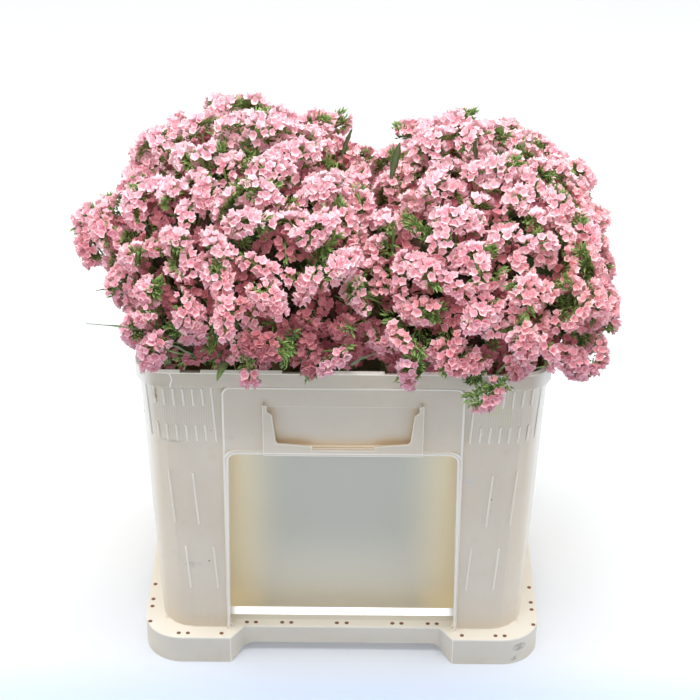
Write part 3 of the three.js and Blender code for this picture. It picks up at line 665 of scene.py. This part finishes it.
def dress_spray(index, spray, petal, leaf):
    """The real look of one spray: its florets in one piece and its green parts in another."""
    rng = default_rng(SPRAY_SEED + index)
    florets, greens = Heap(), Heap()
    stem = np.array([stem_point(spray, t) for t in np.linspace(0, 1, 14)])
    tube(greens, stem, np.linspace(2.4, 1.9, 14), 6, 0.4, wings=0.9)
    for root, forks in spray.real:
        start = stem_point(spray, rng.uniform(0.8, 0.99))
        branch = curve_between(start, root, spray.u, 6)
        tube(greens, branch, np.linspace(1.3, 0.9, 6), 3, 0.5, wings=0.5)
        for comb in forks:
            plant_comb(florets, greens, comb, rng)
            fork = curve_between(root, comb.line[0] - comb.crest, comb.crest, 3)
            tube(greens, fork, [0.9, 0.8, 0.7], 3, 0.5)
    for clump, bearing in spray.leaves:
        plant_leaf(greens, clump, bearing)
    for i, (root, tip, width) in spray.blades:
        end_point = vec(*tip) + vec(0, 0, BLADE_LIFT)
        plant_blade(greens, vec(*root), end_point, width, BLADE_DROP, 0.4 * draw(i, 71))
    name = "spray_%02d" % (index + 1)
    flowers = florets.build(name + "_florets", petal)
    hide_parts(name)
    greens.build(name + "_greens", leaf)


def clump_core(clump, material):
    """The inside of a clump: a shell under the two layers that stands for twigs and florets in
    shade; its darkness is painted shade.
    """
    bm = bmesh.new()
    bmesh.ops.create_icosphere(bm, subdivisions=5, radius=1)
    bm.verts.ensure_lookup_table()
    rng = default_rng(CORE_SEED + clump)
    points = np.array([v.co for v in bm.verts])
    faces = np.array([[v.index for v in f.verts] for f in bm.faces])
    bm.free()
    points = unit(points)
    share = 0.77 + rng.uniform(-0.04, 0.04, len(points))
    placed = np.array([clump_point(clump, u, k) for u, k in zip(points, share)])
    placed[:, 2] = np.maximum(placed[:, 2], RIM_TOP + 9)
    heap = Heap()
    heap.add(placed, faces, tones_of(share, rng.uniform(size=len(share)), 0.5, 0))
    heap.build(("left", "right")[clump] + "_inner_shade_and_twigs", material)


# Shader maths
class Wire:
    """A socket in a node tree that can be added, multiplied and compared like a number."""

    tree = None

    def __init__(self, socket):
        self.socket = socket

    def math(self, operation, *others):
        node = Wire.tree.nodes.new("ShaderNodeMath")
        node.operation = operation
        for i, value in enumerate((self, *others)):
            plug(node.inputs[i], value)
        return Wire(node.outputs[0])

    __add__ = __radd__ = partialmethod(math, "ADD")
    __sub__ = partialmethod(math, "SUBTRACT")
    __mul__ = __rmul__ = partialmethod(math, "MULTIPLY")
    __truediv__ = partialmethod(math, "DIVIDE")
    __pow__ = partialmethod(math, "POWER")
    __abs__ = partialmethod(math, "ABSOLUTE")
    least = partialmethod(math, "MINIMUM")
    most = partialmethod(math, "MAXIMUM")

    def __rsub__(self, other):
        return (self * -1) + other

    def step(self, low, high):
        """0 below low, 1 above high and smooth between. If low is above high it falls instead."""
        first, last = sorted((low, high))
        ends = {"From_Min": first, "From_Max": last, "To_Min": low > high, "To_Max": low <= high}
        node = make("ShaderNodeMapRange", {"interpolation_type": "SMOOTHSTEP"}, Value=self, **ends)
        return Wire(node.outputs["Result"])


def plug(inlet, value):
    if isinstance(value, Wire):
        Wire.tree.links.new(value.socket, inlet)
    elif hasattr(inlet.default_value, "__len__"):
        inlet.default_value = (*value, 1.0)[: len(inlet.default_value)]
    else:
        inlet.default_value = value


def make(kind, settings=(), **inputs):
    """Any other node: its settings by name, and its inputs by name with _ for a space."""
    node = Wire.tree.nodes.new(kind)
    for key, value in dict(settings).items():
        setattr(node, key, value)
    for key, value in inputs.items():
        plug(node.inputs[key.replace("_", " ")], value)
    return node


def blend(share, low, high, mode="MIX"):
    """A colour that goes from low to high as share goes from 0 to 1."""
    node = Wire.tree.nodes.new("ShaderNodeMix")
    node.data_type = "RGBA"
    node.blend_type = mode
    plug(node.inputs[0], share)
    plug(node.inputs[6], low)
    plug(node.inputs[7], high)
    return Wire(node.outputs[2])


def coated(colour, coats):
    """A colour under coats, one over the other. Each is (share, colour) or (share, colour, mode)."""
    for share, coat, *mode in coats:
        colour = blend(share, colour, coat, *mode)
    return colour


def any_of(masks):
    """The largest of several masks."""
    return reduce(Wire.most, masks)


def noise(place, scale, detail=3.0, rough=0.55):
    node = make("ShaderNodeTexNoise", Vector=place, Scale=scale, Detail=detail, Roughness=rough)
    return Wire(node.outputs[0])


def streaks(place, scale):
    """Noise that a scale in x, y and z draws out to long thin marks."""
    stretched = Wire(make("ShaderNodeMapping", Vector=place, Scale=scale).outputs[0])
    return noise(stretched, 1.0, 2.0, 0.4)


def begin(name):
    material = bpy.data.materials.new(name)
    material.use_nodes = True
    Wire.tree = material.node_tree
    Wire.tree.nodes.clear()
    return material


def end(material, bump=None, **inputs):
    """Closes a material: bump is (height, strength, distance), the rest are shader inputs."""
    shader = make("ShaderNodeBsdfPrincipled", **inputs)
    if bump is not None:
        height, strength, distance = bump
        node = make("ShaderNodeBump", Strength=strength, Distance=distance, Height=height)
        plug(shader.inputs["Normal"], Wire(node.outputs[0]))
    output = Wire.tree.nodes.new("ShaderNodeOutputMaterial")
    Wire.tree.links.new(shader.outputs[0], output.inputs[0])
    return material


def place_parts():
    """Object coordinates, whole and as three numbers in millimetres from the crate's centre."""
    place = Wire(make("ShaderNodeTexCoord").outputs["Object"])
    parts = make("ShaderNodeSeparateXYZ", Vector=place)
    x, y, z = (Wire(parts.outputs[i]) for i in range(3))
    return place, x * 1000 - float(CENTRE[0]), y * 1000 - float(CENTRE[1]), z * 1000


def tone_parts():
    """The four numbers that each floret, bract and leaf carries in its points."""
    source = make("ShaderNodeAttribute", {"attribute_name": "tone"})
    parts = make("ShaderNodeSeparateColor", Color=Wire(source.outputs["Color"]))
    return tuple(Wire(parts.outputs[i]) for i in range(3)) + (Wire(source.outputs["Alpha"]),)


def petal_material():
    """Papery calyx: green foot, cream then pink funnel, pale lip. The hue drifts from comb to comb.

    A faint glow stands for the light that comes through the thin paper. Painted light makes the tops
    of the clumps paler, and painted shade darkens the deep combs and the florets down at the crate's
    mouth.
    """
    material = begin("papery_calyx")
    along, own, comb, side = tone_parts()
    place, x, _, z = place_parts()
    drift = (z - 430) / 260 - x / 900 + 0.3
    light = drift + noise(place, 9.0, 2.0) - 0.5
    hue = comb * 0.6 + light * 0.6
    warm = blend(own, (0.96, 0.55, 0.56), (0.93, 0.42, 0.45))
    cool = blend(own, (0.96, 0.58, 0.66), (0.93, 0.46, 0.56))
    body = blend(hue.step(0.1, 0.9), warm, cool)
    pale = blend(own, (0.99, 0.86, 0.84), (0.98, 0.73, 0.77))
    # Painted light makes the tops of the clumps lighter and paler; painted shade darkens them down
    # at the crate's mouth
    green_base_and_lit_top = z.step(430, 520)
    body = blend(green_base_and_lit_top * 0.5, body, (0.98, 0.71, 0.81))
    pale = blend(green_base_and_lit_top * 0.5, pale, (1.0, 0.92, 0.92))
    lip = along.step(0.68, 1.0)
    patch = noise(place, 34.0, 2.0).step(0.38, 0.66)
    funnel = blend(lip * (0.5 + patch * 0.4), body, pale)
    veil = along.step(0.7, 0.3) * (1 - side.least(1.0))
    throat, foot, flower = side.step(0.2, 0.9), along.step(0.3, 0.05), side.step(1.2, 1.8)
    coats = [
        (veil * 0.55, (0.86, 0.72, 0.50)),
        # Darker with a lower tone: at random among the outer combs, and as painted shade on the deep
        # combs
        ((1 - comb) * 0.6, (0.82, 0.60, 0.62), "MULTIPLY"),
        (comb.step(0.4, 0.3), (0.62, 0.42, 0.44), "MULTIPLY"),
        # painted shade: darker down towards the crate's mouth
        (z.step(435, 350) * 0.8, (0.76, 0.70, 0.78), "MULTIPLY"),
        (throat * 0.45, (0.88, 0.36, 0.42)),
        (foot, (0.34, 0.40, 0.15)),
        (flower, (0.97, 0.90, 0.80)),
    ]
    colour = coated(funnel, coats)
    crepe = noise(place, 1400.0, 2.0)
    return end(
        material,
        bump=(crepe, 0.35, 0.0004),
        Base_Color=colour,
        Roughness=0.62 + 0.2 * crepe,
        Sheen_Weight=0.25,
        Emission_Color=blend(0.6, colour, (0.85, 0.14, 0.18)),
        Emission_Strength=0.05,
    )


def leaf_material():
    """Winged stems, bracts, buds and leaves: mid green, paler at tips and edges, brown in spots."""
    material = begin("green_stem_and_leaf")
    along, own, comb, side = tone_parts()
    place = place_parts()[0]
    green_base_and_lit_top = blend(own, (0.075, 0.165, 0.035), (0.16, 0.29, 0.06))
    tip = along.step(0.35, 1.0) * (0.35 + own * 0.55)
    blade = blend(own, (0.05, 0.105, 0.045), (0.105, 0.20, 0.075))
    spot = noise(place, 120.0, 3.0).step(0.62, 0.74)
    coats = [
        (tip, (0.46, 0.58, 0.20)),
        (comb.step(0.004, 0.001), blade),
        (spot * 0.5, (0.20, 0.13, 0.045)),
        (side * 0.35, (0.36, 0.46, 0.16)),
    ]
    colour, grain = coated(green_base_and_lit_top, coats), noise(place, 900.0, 2.0)
    return end(material, bump=(grain, 0.4, 0.0005), Base_Color=colour, Roughness=0.45 + 0.25 * grain)


def inner_material():
    """The inside as painted shade: very dark green twigs with dull pink between them."""
    material = begin("inner_shade_and_twigs")
    own = tone_parts()[1]
    place = place_parts()[0]
    patch = noise(place, 75.0, 3.0).step(0.42, 0.6)
    colour = blend(patch, (0.03, 0.06, 0.014), (0.24, 0.09, 0.09))
    colour = blend(own * 0.5, colour, (0.05, 0.10, 0.02))
    grain = noise(place, 420.0, 3.0)
    return end(material, bump=(grain, 0.8, 0.003), Base_Color=colour, Roughness=0.85 + 0.1 * grain)


# Holes in the flange: (x, y), repeated in all four quarters
HOLES = [(-4.5, 125), (5, 125), (51.5, 125), (60.7, 125), (87.5, 125), (96.7, 125)]
HOLES += [(121.5, 143), (155.5, 143), (164.7, 143)]
HOLES += [(195, 125), (195, 101), (195, 89.5), (195, 65)]

# The skirt's outer face: its height and half depth at the foot, and how much it opens upwards
SKIRT_Z, SKIRT_FOOT, SKIRT_SLOPE = 32, 133, 10.5 / 298
# The tub's outer face likewise
TUB_Z, TUB_FOOT, TUB_SLOPE = 20, 86, 56.3 / 326
# The raised panel and the window in it: half width, top, corner radius. The window narrows upwards
PANEL, WINDOW, WINDOW_TAPER = (114, 331, 9), (113, 254, 8), 0.018
# The slots in the rim: x of their middles, y of their outer and inner outline
RIM_SLOTS, SLOT_OUTER, SLOT_INNER = (47.5, 142.5), 142.6, 142.4
# The lower corner of a window: half width, height, radius
WINDOW_FOOT = (113, 32, 9)
# Stains on the front: centre (x, z), size, share, colour
STAINS = [
    ((-176, 318), (3.5, 7.0), 0.75, (0.33, 0.22, 0.10)),
    ((-188, 340), (2.2, 2.2), 0.9, (0.16, 0.10, 0.06)),
    ((-191, 286), (2.0, 2.4), 0.8, (0.20, 0.13, 0.08)),
    ((-164, 266), (14.0, 2.2), 0.5, (0.40, 0.33, 0.25)),
    ((-148, 114), (10.0, 5.0), 0.4, (0.45, 0.40, 0.34)),
    ((-165, 128), (5.0, 3.0), 0.35, (0.45, 0.40, 0.34)),
    ((140, 306), (13.0, 11.0), 0.42, (0.60, 0.58, 0.22)),
    ((152, 298), (8.0, 14.0), 0.3, (0.62, 0.60, 0.26)),
    ((122, 222), (6.0, 7.0), 0.4, (0.55, 0.60, 0.70)),
    ((180, 20), (8.0, 6.0), 0.7, (0.30, 0.28, 0.25)),
    ((174, 7), (7.0, 4.0), 0.7, (0.28, 0.25, 0.22)),
    ((-120, 44), (40.0, 8.0), 0.25, (0.66, 0.50, 0.34)),
]
SCRATCH_X = -160.5
# Heights where the solids part, in metres: as built, how far off, and as the look closes them
SEAMS = [(0.0323, 6e-5, 0.0312), (0.3417, 6e-5, 0.3422)]


def rounded_edge(x, z, half, top, radius):
    """How far a point lies outside an arch with round upper corners, in millimetres."""
    over, above = x - half + radius, z - top + radius
    outside = (over.most(0.0) ** 2 + above.most(0.0) ** 2) ** 0.5
    return outside + over.most(above).least(0.0) - radius


def blot(x, z, centre, size):
    """A soft round stain: 1 at its centre and 0 past its size, both given as (x, z)."""
    across, up = (x - centre[0]) / size[0], (z - centre[1]) / size[1]
    return (across * across + up * up).step(1.0, 0.15)


def moulded_material():
    """Cream moulded plastic: fine grain, scuffs, stains, and painted light and shade: brown holes in
    the flange, warm recesses, pale edges and a lighter flange top.

    Behind the windows a faint painted glow stands for light inside the plastic, and the rim's top,
    the skirt's corners and the card holder's pocket glow as painted light.
    """
    material = begin("moulded_cream_plastic")
    place, x, y, z = place_parts()
    width, depth = abs(x), abs(y)
    # How far a point stands proud of the skirt's front or back face
    proud = depth - (z - SKIRT_Z) * SKIRT_SLOPE - SKIRT_FOOT
    skirt, below_rim, front = z.step(32.6, 34), z.step(331, 329), y.step(-100, -120)
    mottle = noise(place, 60.0, 4.0, 0.65)
    # Brown patches, low on the base and on the band under the rim
    low = z.step(30, 2) * noise(place, 28.0, 3.0).step(0.35, 0.75)
    band = z.step(324, 331) * z.step(338, 331) * noise(place, 45.0, 3.0).step(0.45, 0.7)
    # Fine scratches: long thin streaks, level and upright
    level = streaks(place, (30.0, 30.0, 1400.0)).step(0.70, 0.76)
    upright = streaks(place, (900.0, 900.0, 16.0)).step(0.69, 0.77)
    scratch = level.most(upright * 0.7)
    # Small brown specks
    cells = make("ShaderNodeTexVoronoi", Vector=place, Scale=46.0)
    speck = Wire(cells.outputs["Distance"]).step(0.055, 0.03)
    speck = speck * noise(place, 11.0, 1.0).step(0.5, 0.62)
    # The skirt's corners are painted paler and given a faint glow, as painted highlights. Between
    # the upper ribs run fine upright lines
    corner = skirt * width.step(175, 191) * depth.step(104, 122)
    lined = skirt * below_rim * z.step(262, 266) * width.step(119, 121) * depth.step(110, 120)
    fine = (x * 2.7).math("SINE")
    # Warm light gathers in the card holder's pocket, along its lips
    pocket = proud.step(0.4, 0.8) * proud.step(4.4, 4.0)
    pocket = pocket * width.step(70, 68) * z.step(262, 263) * z.step(309, 306)
    near_lip = (width - (z - 272) * 0.107).step(54, 65).most((z - width * 0.09).step(274, 264))
    warmth = pocket * near_lip
    # The stains and the long scratch on the front
    ragged = front * noise(place, 160.0, 3.0).step(0.35, 0.6)
    stains = [(ragged * blot(x, z, at, size) * share, stain) for at, size, share, stain in STAINS]
    wave = abs(x - SCRATCH_X - ((z * 0.45).math("SINE") * 0.8))
    wave = front * wave.step(0.9, 0.4) * z.step(327, 331)
    # Raised ribs, the edges of the panel and the window and the card holder's lips are painted paler
    # as highlights, and every sharp edge is painted paler, part highlight and part rubbing
    ribs = skirt * below_rim * proud.step(0.5, 1.0) * proud.step(2.0, 1.5)
    on_panel = skirt * proud.step(1.5, 2.5) * z.step(331.5, 330)
    panel = rounded_edge(width, z, *PANEL)
    half, top, radius = WINDOW
    window = rounded_edge(width, z, half - (z - SKIRT_Z) * WINDOW_TAPER, top, radius)
    borders = [(panel + 0.9, 1.2, 0.6), (window - 1.0, 1.4, 0.8), (window - 4.2, 1.1, 0.5)]
    lines = any_of([abs(off).step(outer, inner) for off, outer, inner in borders])
    lips = proud.step(3.2, 3.5) * proud.step(4.9, 4.6) * z.step(258, 260) * below_rim
    edge = Wire(make("ShaderNodeAttribute", {"attribute_name": "worn_edge"}).outputs["Fac"])
    pale = any_of([ribs * 0.45, edge * 0.7, lines * on_panel * 0.75, lips * 0.8])
    # The top of the flange, painted lighter as light from above, with its row of holes
    flange_top = z.step(30.6, 31.4) * z.step(33.2, 32.5)
    flange_top = flange_top * depth.step(119, 121).most(width.step(178, 181))
    offsets = [(width - hx, depth - hy) for hx, hy in HOLES]
    # Each hole is a dark brown disc of painted shade, with a dent in the bump
    hole = any_of([(dx * dx + dy * dy).step(5.8, 3.4) for dx, dy in offsets]) * flange_top
    # The tub's wall behind the windows, in painted light and shade: greyer and darker in the middle
    # and higher up, lighter low down, and warm with a painted glow where light comes through
    tub = abs(depth - TUB_FOOT - (z - TUB_Z) * TUB_SLOPE)
    behind = tub.step(5.5, 4.0) * z.step(16, 19) * z.step(258, 254) * width.step(124, 119)
    glow = (width.step(40, 118) ** 1.6).most(z.step(150, 36) * 0.2).most(z.step(246, 258) * 0.4)
    wall = blend(z.step(160, 25), (0.575, 0.555, 0.45), (0.80, 0.77, 0.66))
    recess = blend(glow, wall, (1.0, 0.85, 0.54))
    # The slots in the rim are outlined in brown
    slots = []
    for centre in RIM_SLOTS:
        across = abs(width - centre)
        outer = across.step(9.8, 9.2) * abs(depth - SLOT_OUTER).step(3.0, 2.5)
        inner = across.step(7.4, 6.8) * abs(depth - SLOT_INNER).step(1.5, 1.0)
        slots.append(outer * (1 - inner * 0.75))
    slot = any_of(slots) * z.step(341, 342)
    # The rim's top is painted light: a pale colour and a glow where the flowers shade it
    rim_top = z.step(345.1, 345.7)
    cloud = noise(place, 7.0, 4.0)
    cream = blend(cloud.step(0.3, 0.7), (0.79, 0.73, 0.625), (0.835, 0.785, 0.69))
    coats = [
        (mottle.step(0.55, 0.8) * 0.35, (0.72, 0.62, 0.46)),
        (low * 0.3, (0.50, 0.40, 0.26)),
        (band * 0.25, (0.55, 0.44, 0.28)),
        (scratch * 0.22, (0.62, 0.52, 0.38)),
        (speck * 0.8, (0.20, 0.12, 0.06)),
        # The skirt is a little pinker and greyer than the flange. Painted shade darkens it more
        # towards the rim, under the flowers, and darkens the flange's faces below its top
        (skirt, (0.90, 0.83, 0.75), "MULTIPLY"),
        (z.step(250, 300), (0.87, 0.88, 0.87), "MULTIPLY"),
        (z.step(30.4, 29.6), (0.88, 0.87, 0.86), "MULTIPLY"),
        (corner * 0.65, (0.93, 0.93, 0.91)),
        (lined * fine.step(0.0, 0.9) * 0.14, (0.95, 0.94, 0.90)),
        (warmth * 0.6, (1.0, 0.82, 0.58), "MULTIPLY"),
        *stains,
        (wave * 0.8, (0.95, 0.92, 0.84)),
        (pale, (0.95, 0.90, 0.80)),
        (flange_top, (0.93, 0.87, 0.765)),
        (hole, (0.22, 0.09, 0.035)),
        (behind * 0.92, recess),
        (rim_top, (0.90, 0.88, 0.80)),
        (slot * 0.85, (0.30, 0.16, 0.06)),
    ]
    # Painted light: glows on the tub's wall behind the windows, the rim's top, the skirt's corners
    # and the card holder's pocket
    lights = [
        (behind * glow * (1 - z.step(34, 60) * 0.5), (0.70, 0.52, 0.24)),
        (rim_top * (1 - slot * 0.8), (0.95, 0.95, 0.88)),
        (corner, (0.26, 0.27, 0.28)),
        (warmth, (0.30, 0.19, 0.07)),
    ]
    grain = noise(place, 1500.0, 2.0) * 0.5 + mottle * 0.5 - scratch * 0.8
    grain = grain - hole * 3.0 + lined * fine * 0.25
    return end(
        material,
        bump=(grain, 0.25, 0.0004),
        Base_Color=coated(cream, coats),
        Roughness=0.40 + 0.18 * mottle + 0.12 * scratch,
        Emission_Color=coated((0.0, 0.0, 0.0), lights),
        Emission_Strength=0.26,
    )


# Crate
def window_fillets(bm):
    """Rounds the lower corners of the two windows, where the skirt meets the flange."""
    x0, z0, radius = WINDOW_FOOT
    profile = [(x0 + 0.6, z0 - 0.6), (x0 + 0.6, z0 + radius)]
    for angle in np.linspace(0, pi / 2, 7):
        across, up = radius * cos(angle), radius * sin(angle)
        profile.append((x0 - radius + across, z0 + radius - up))
    profile.append((x0 - radius, z0 - 0.6))
    n = len(profile)
    for sx, sy in product((-1, 1), (-1, 1)):
        front, back = [], []
        for inset, row in ((0.05, front), (2.9, back)):
            for px, pz in profile:
                y = SKIRT_FOOT + SKIRT_SLOPE * (pz - SKIRT_Z) - inset
                row.append(bm.verts.new((vec(sx * px, sy * y, pz) + CENTRE) / 1000))
        made = [bm.faces.new((front[0], front[i], front[i + 1])) for i in range(1, n - 1)]
        made += [bm.faces.new((back[0], back[i + 1], back[i])) for i in range(1, n - 1)]
        for i in range(n):
            j = (i + 1) % n
            made.append(bm.faces.new((front[i], back[i], back[j], front[j])))
        bmesh.ops.recalc_face_normals(bm, faces=made)


def crate_piece(material):
    """The crate's three solids as one mesh, with their seams closed and their edges softened."""
    bm = bmesh.new()
    for name in ("crate_tub", "crate_skirt", "crate_base"):
        bm.from_mesh(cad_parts[name].data)
    bmesh.ops.remove_doubles(bm, verts=bm.verts, dist=4e-6)
    for v in bm.verts:
        for built, off, closed in SEAMS:
            if abs(v.co.z - built) < off:
                v.co.z = closed
    bmesh.ops.dissolve_limit(bm, angle_limit=radians(0.6), verts=bm.verts, edges=bm.edges)
    window_fillets(bm)
    shared = [e for e in bm.edges if len(e.link_faces) == 2]
    sharp = [e for e in shared if e.calc_face_angle_signed(0) > radians(32)]
    # The bevel's faces are marked to be painted paler: part painted highlight, part rubbing
    rubbed_and_lit = bm.faces.layers.float.new("worn_edge")
    softened = bmesh.ops.bevel(
        bm, geom=sharp, offset=0.0007, segments=2, profile=0.5, affect="EDGES", clamp_overlap=False
    )
    for face in softened["faces"]:
        face[rubbed_and_lit] = 1.0
    for edge in bm.edges:
        edge.smooth = edge.calc_face_angle(0) < radians(50)
    mesh = bpy.data.meshes.new("crate_moulding")
    bm.to_mesh(mesh)
    bm.free()
    piece = in_scene("crate_moulding", mesh)
    mesh.materials.append(material)
    mesh.polygons.foreach_set("use_smooth", np.ones(len(mesh.polygons), bool))
    weighted = piece.modifiers.new("even_normals", "WEIGHTED_NORMAL")
    weighted.keep_sharp = True
    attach(piece, "root")
    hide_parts("crate_tub", "crate_skirt", "crate_base")


# Camera, floor and light
def set_camera():
    """The camera fitted to the crate's edges in the photograph."""
    tilt, roll, distance = radians(32), radians(0.528), 2010.4
    target = vec(5.775, 0, 281.68) + CENTRE
    focal, photo_width = 1999.5, 700
    back = vec(0, -cos(tilt), sin(tilt))
    level = vec(1, 0, 0)
    steep = vec(0, sin(tilt), cos(tilt))
    right = cos(roll) * level + sin(roll) * steep
    up = cos(roll) * steep - sin(roll) * level
    data = bpy.data.cameras.new("camera")
    data.sensor_width = 36
    data.lens = focal * data.sensor_width / photo_width
    data.clip_start = 0.05
    data.clip_end = 60
    camera = in_scene("camera", data)
    turn = Matrix(np.stack([right, up, back], axis=1).tolist()).to_4x4()
    camera.matrix_world = Matrix.Translation((target + back * distance) / 1000) @ turn
    bpy.context.scene.camera = camera


def set_stage():
    """A wide pale floor that curves up behind into a backdrop.

    It glows faintly, more behind and at the sides. In front of the crate it is painted darker and
    bluer and glows less, as painted shade, and under the tub a strong painted glow lights the floor,
    which the windows show.
    """
    material = begin("pale_floor")
    place, x, y, _ = place_parts()
    width, depth = abs(x), abs(y)
    near = width.most(depth).step(1800, 600)
    under = width.step(118, 108) * depth.step(90, 80)
    soft = noise(place, 1.6, 2.0)
    white = blend(soft.step(0.3, 0.7), (0.73, 0.745, 0.76), (0.755, 0.77, 0.78))
    # Painted shade: darker and bluer in front of the crate, where the floor also glows less
    colour = blend(y.step(-120, -215) * near, white, (0.55, 0.635, 0.79))
    glow = blend(y.step(60, -190) * near, (0.2, 0.2, 0.2), (0.10, 0.12, 0.17))
    # Painted light: a strong glow on the floor under the tub
    glow = blend(under, glow, (0.9, 0.9, 0.9))
    rough = 0.34 + 0.06 * soft
    end(material, Base_Color=colour, Roughness=rough, Emission_Color=glow, Emission_Strength=1.0)
    bend, radius, half_width = 3.2, 1.6, 7.0
    profile = [(-6.0, 0.0), (bend, 0.0)]
    for angle in np.linspace(0.12, 1.57, 14):
        profile.append((bend + radius * sin(angle), radius - radius * cos(angle)))
    profile.append((bend + radius, 7.0))
    points = [(x, y, z) for y, z in profile for x in (-half_width, half_width)]
    faces = [(2 * i, 2 * i + 1, 2 * i + 3, 2 * i + 2) for i in range(len(profile) - 1)]
    mesh = bpy.data.meshes.new("floor")
    mesh.from_pydata(points, [], faces)
    mesh.materials.append(material)
    mesh.polygons.foreach_set("use_smooth", np.ones(len(faces), bool))
    in_scene("floor", mesh)


def add_light(name, place, aim, size, power, colour):
    """A rectangular lamp that points at the crate's middle line, at height aim."""
    data = bpy.data.lights.new(name, "AREA")
    data.shape = "RECTANGLE"
    data.size, data.size_y = size
    data.energy = power
    data.color = colour
    lamp = in_scene(name, data)
    lamp.location = place
    lamp.rotation_euler = (Vector((0, 0, aim)) - Vector(place)).to_track_quat("-Z", "Y").to_euler()


def set_light():
    world = bpy.data.worlds.new("studio")
    world.use_nodes = True
    colour, strength = world.node_tree.nodes["Background"].inputs[:2]
    colour.default_value = (0.95, 0.975, 1.0, 1.0)
    strength.default_value = 0.55
    bpy.context.scene.world = world
    warm, cool = (1.0, 0.99, 0.97), (0.98, 0.99, 1.0)
    add_light("top_soft", (0.05, -0.15, 2.4), 0.3, (2.0, 1.6), 56, warm)
    add_light("left_soft", (-2.3, -0.25, 1.4), 0.25, (1.3, 1.6), 14, warm)
    add_light("right_soft", (2.3, -0.25, 1.4), 0.25, (1.2, 1.5), 12, cool)
    settings = bpy.context.scene.view_settings
    settings.view_transform = "Standard"
    settings.look = "None"
    settings.exposure = 0.0


set_camera()
set_stage()
set_light()

petal = petal_material()
leaf = leaf_material()
crate_piece(moulded_material())

sprays = lay_out_sprays()
lay_out_combs(sprays)
lay_out_real_combs(sprays)
for clump, bearing in LEAVES:
    nearest_spray(sprays, leaf_root(clump, bearing)).leaves.append((clump, bearing))
dressed = [s for s in sprays if s.combs]
for i, blade in enumerate(BLADES):
    nearest_spray(dressed, vec(*blade[0])).blades.append((i, blade))
for index, spray in enumerate(dressed):
    dress_spray(index, spray, petal, leaf)
inner = inner_material()
for clump in range(len(CLUMPS)):
    clump_core(clump, inner)
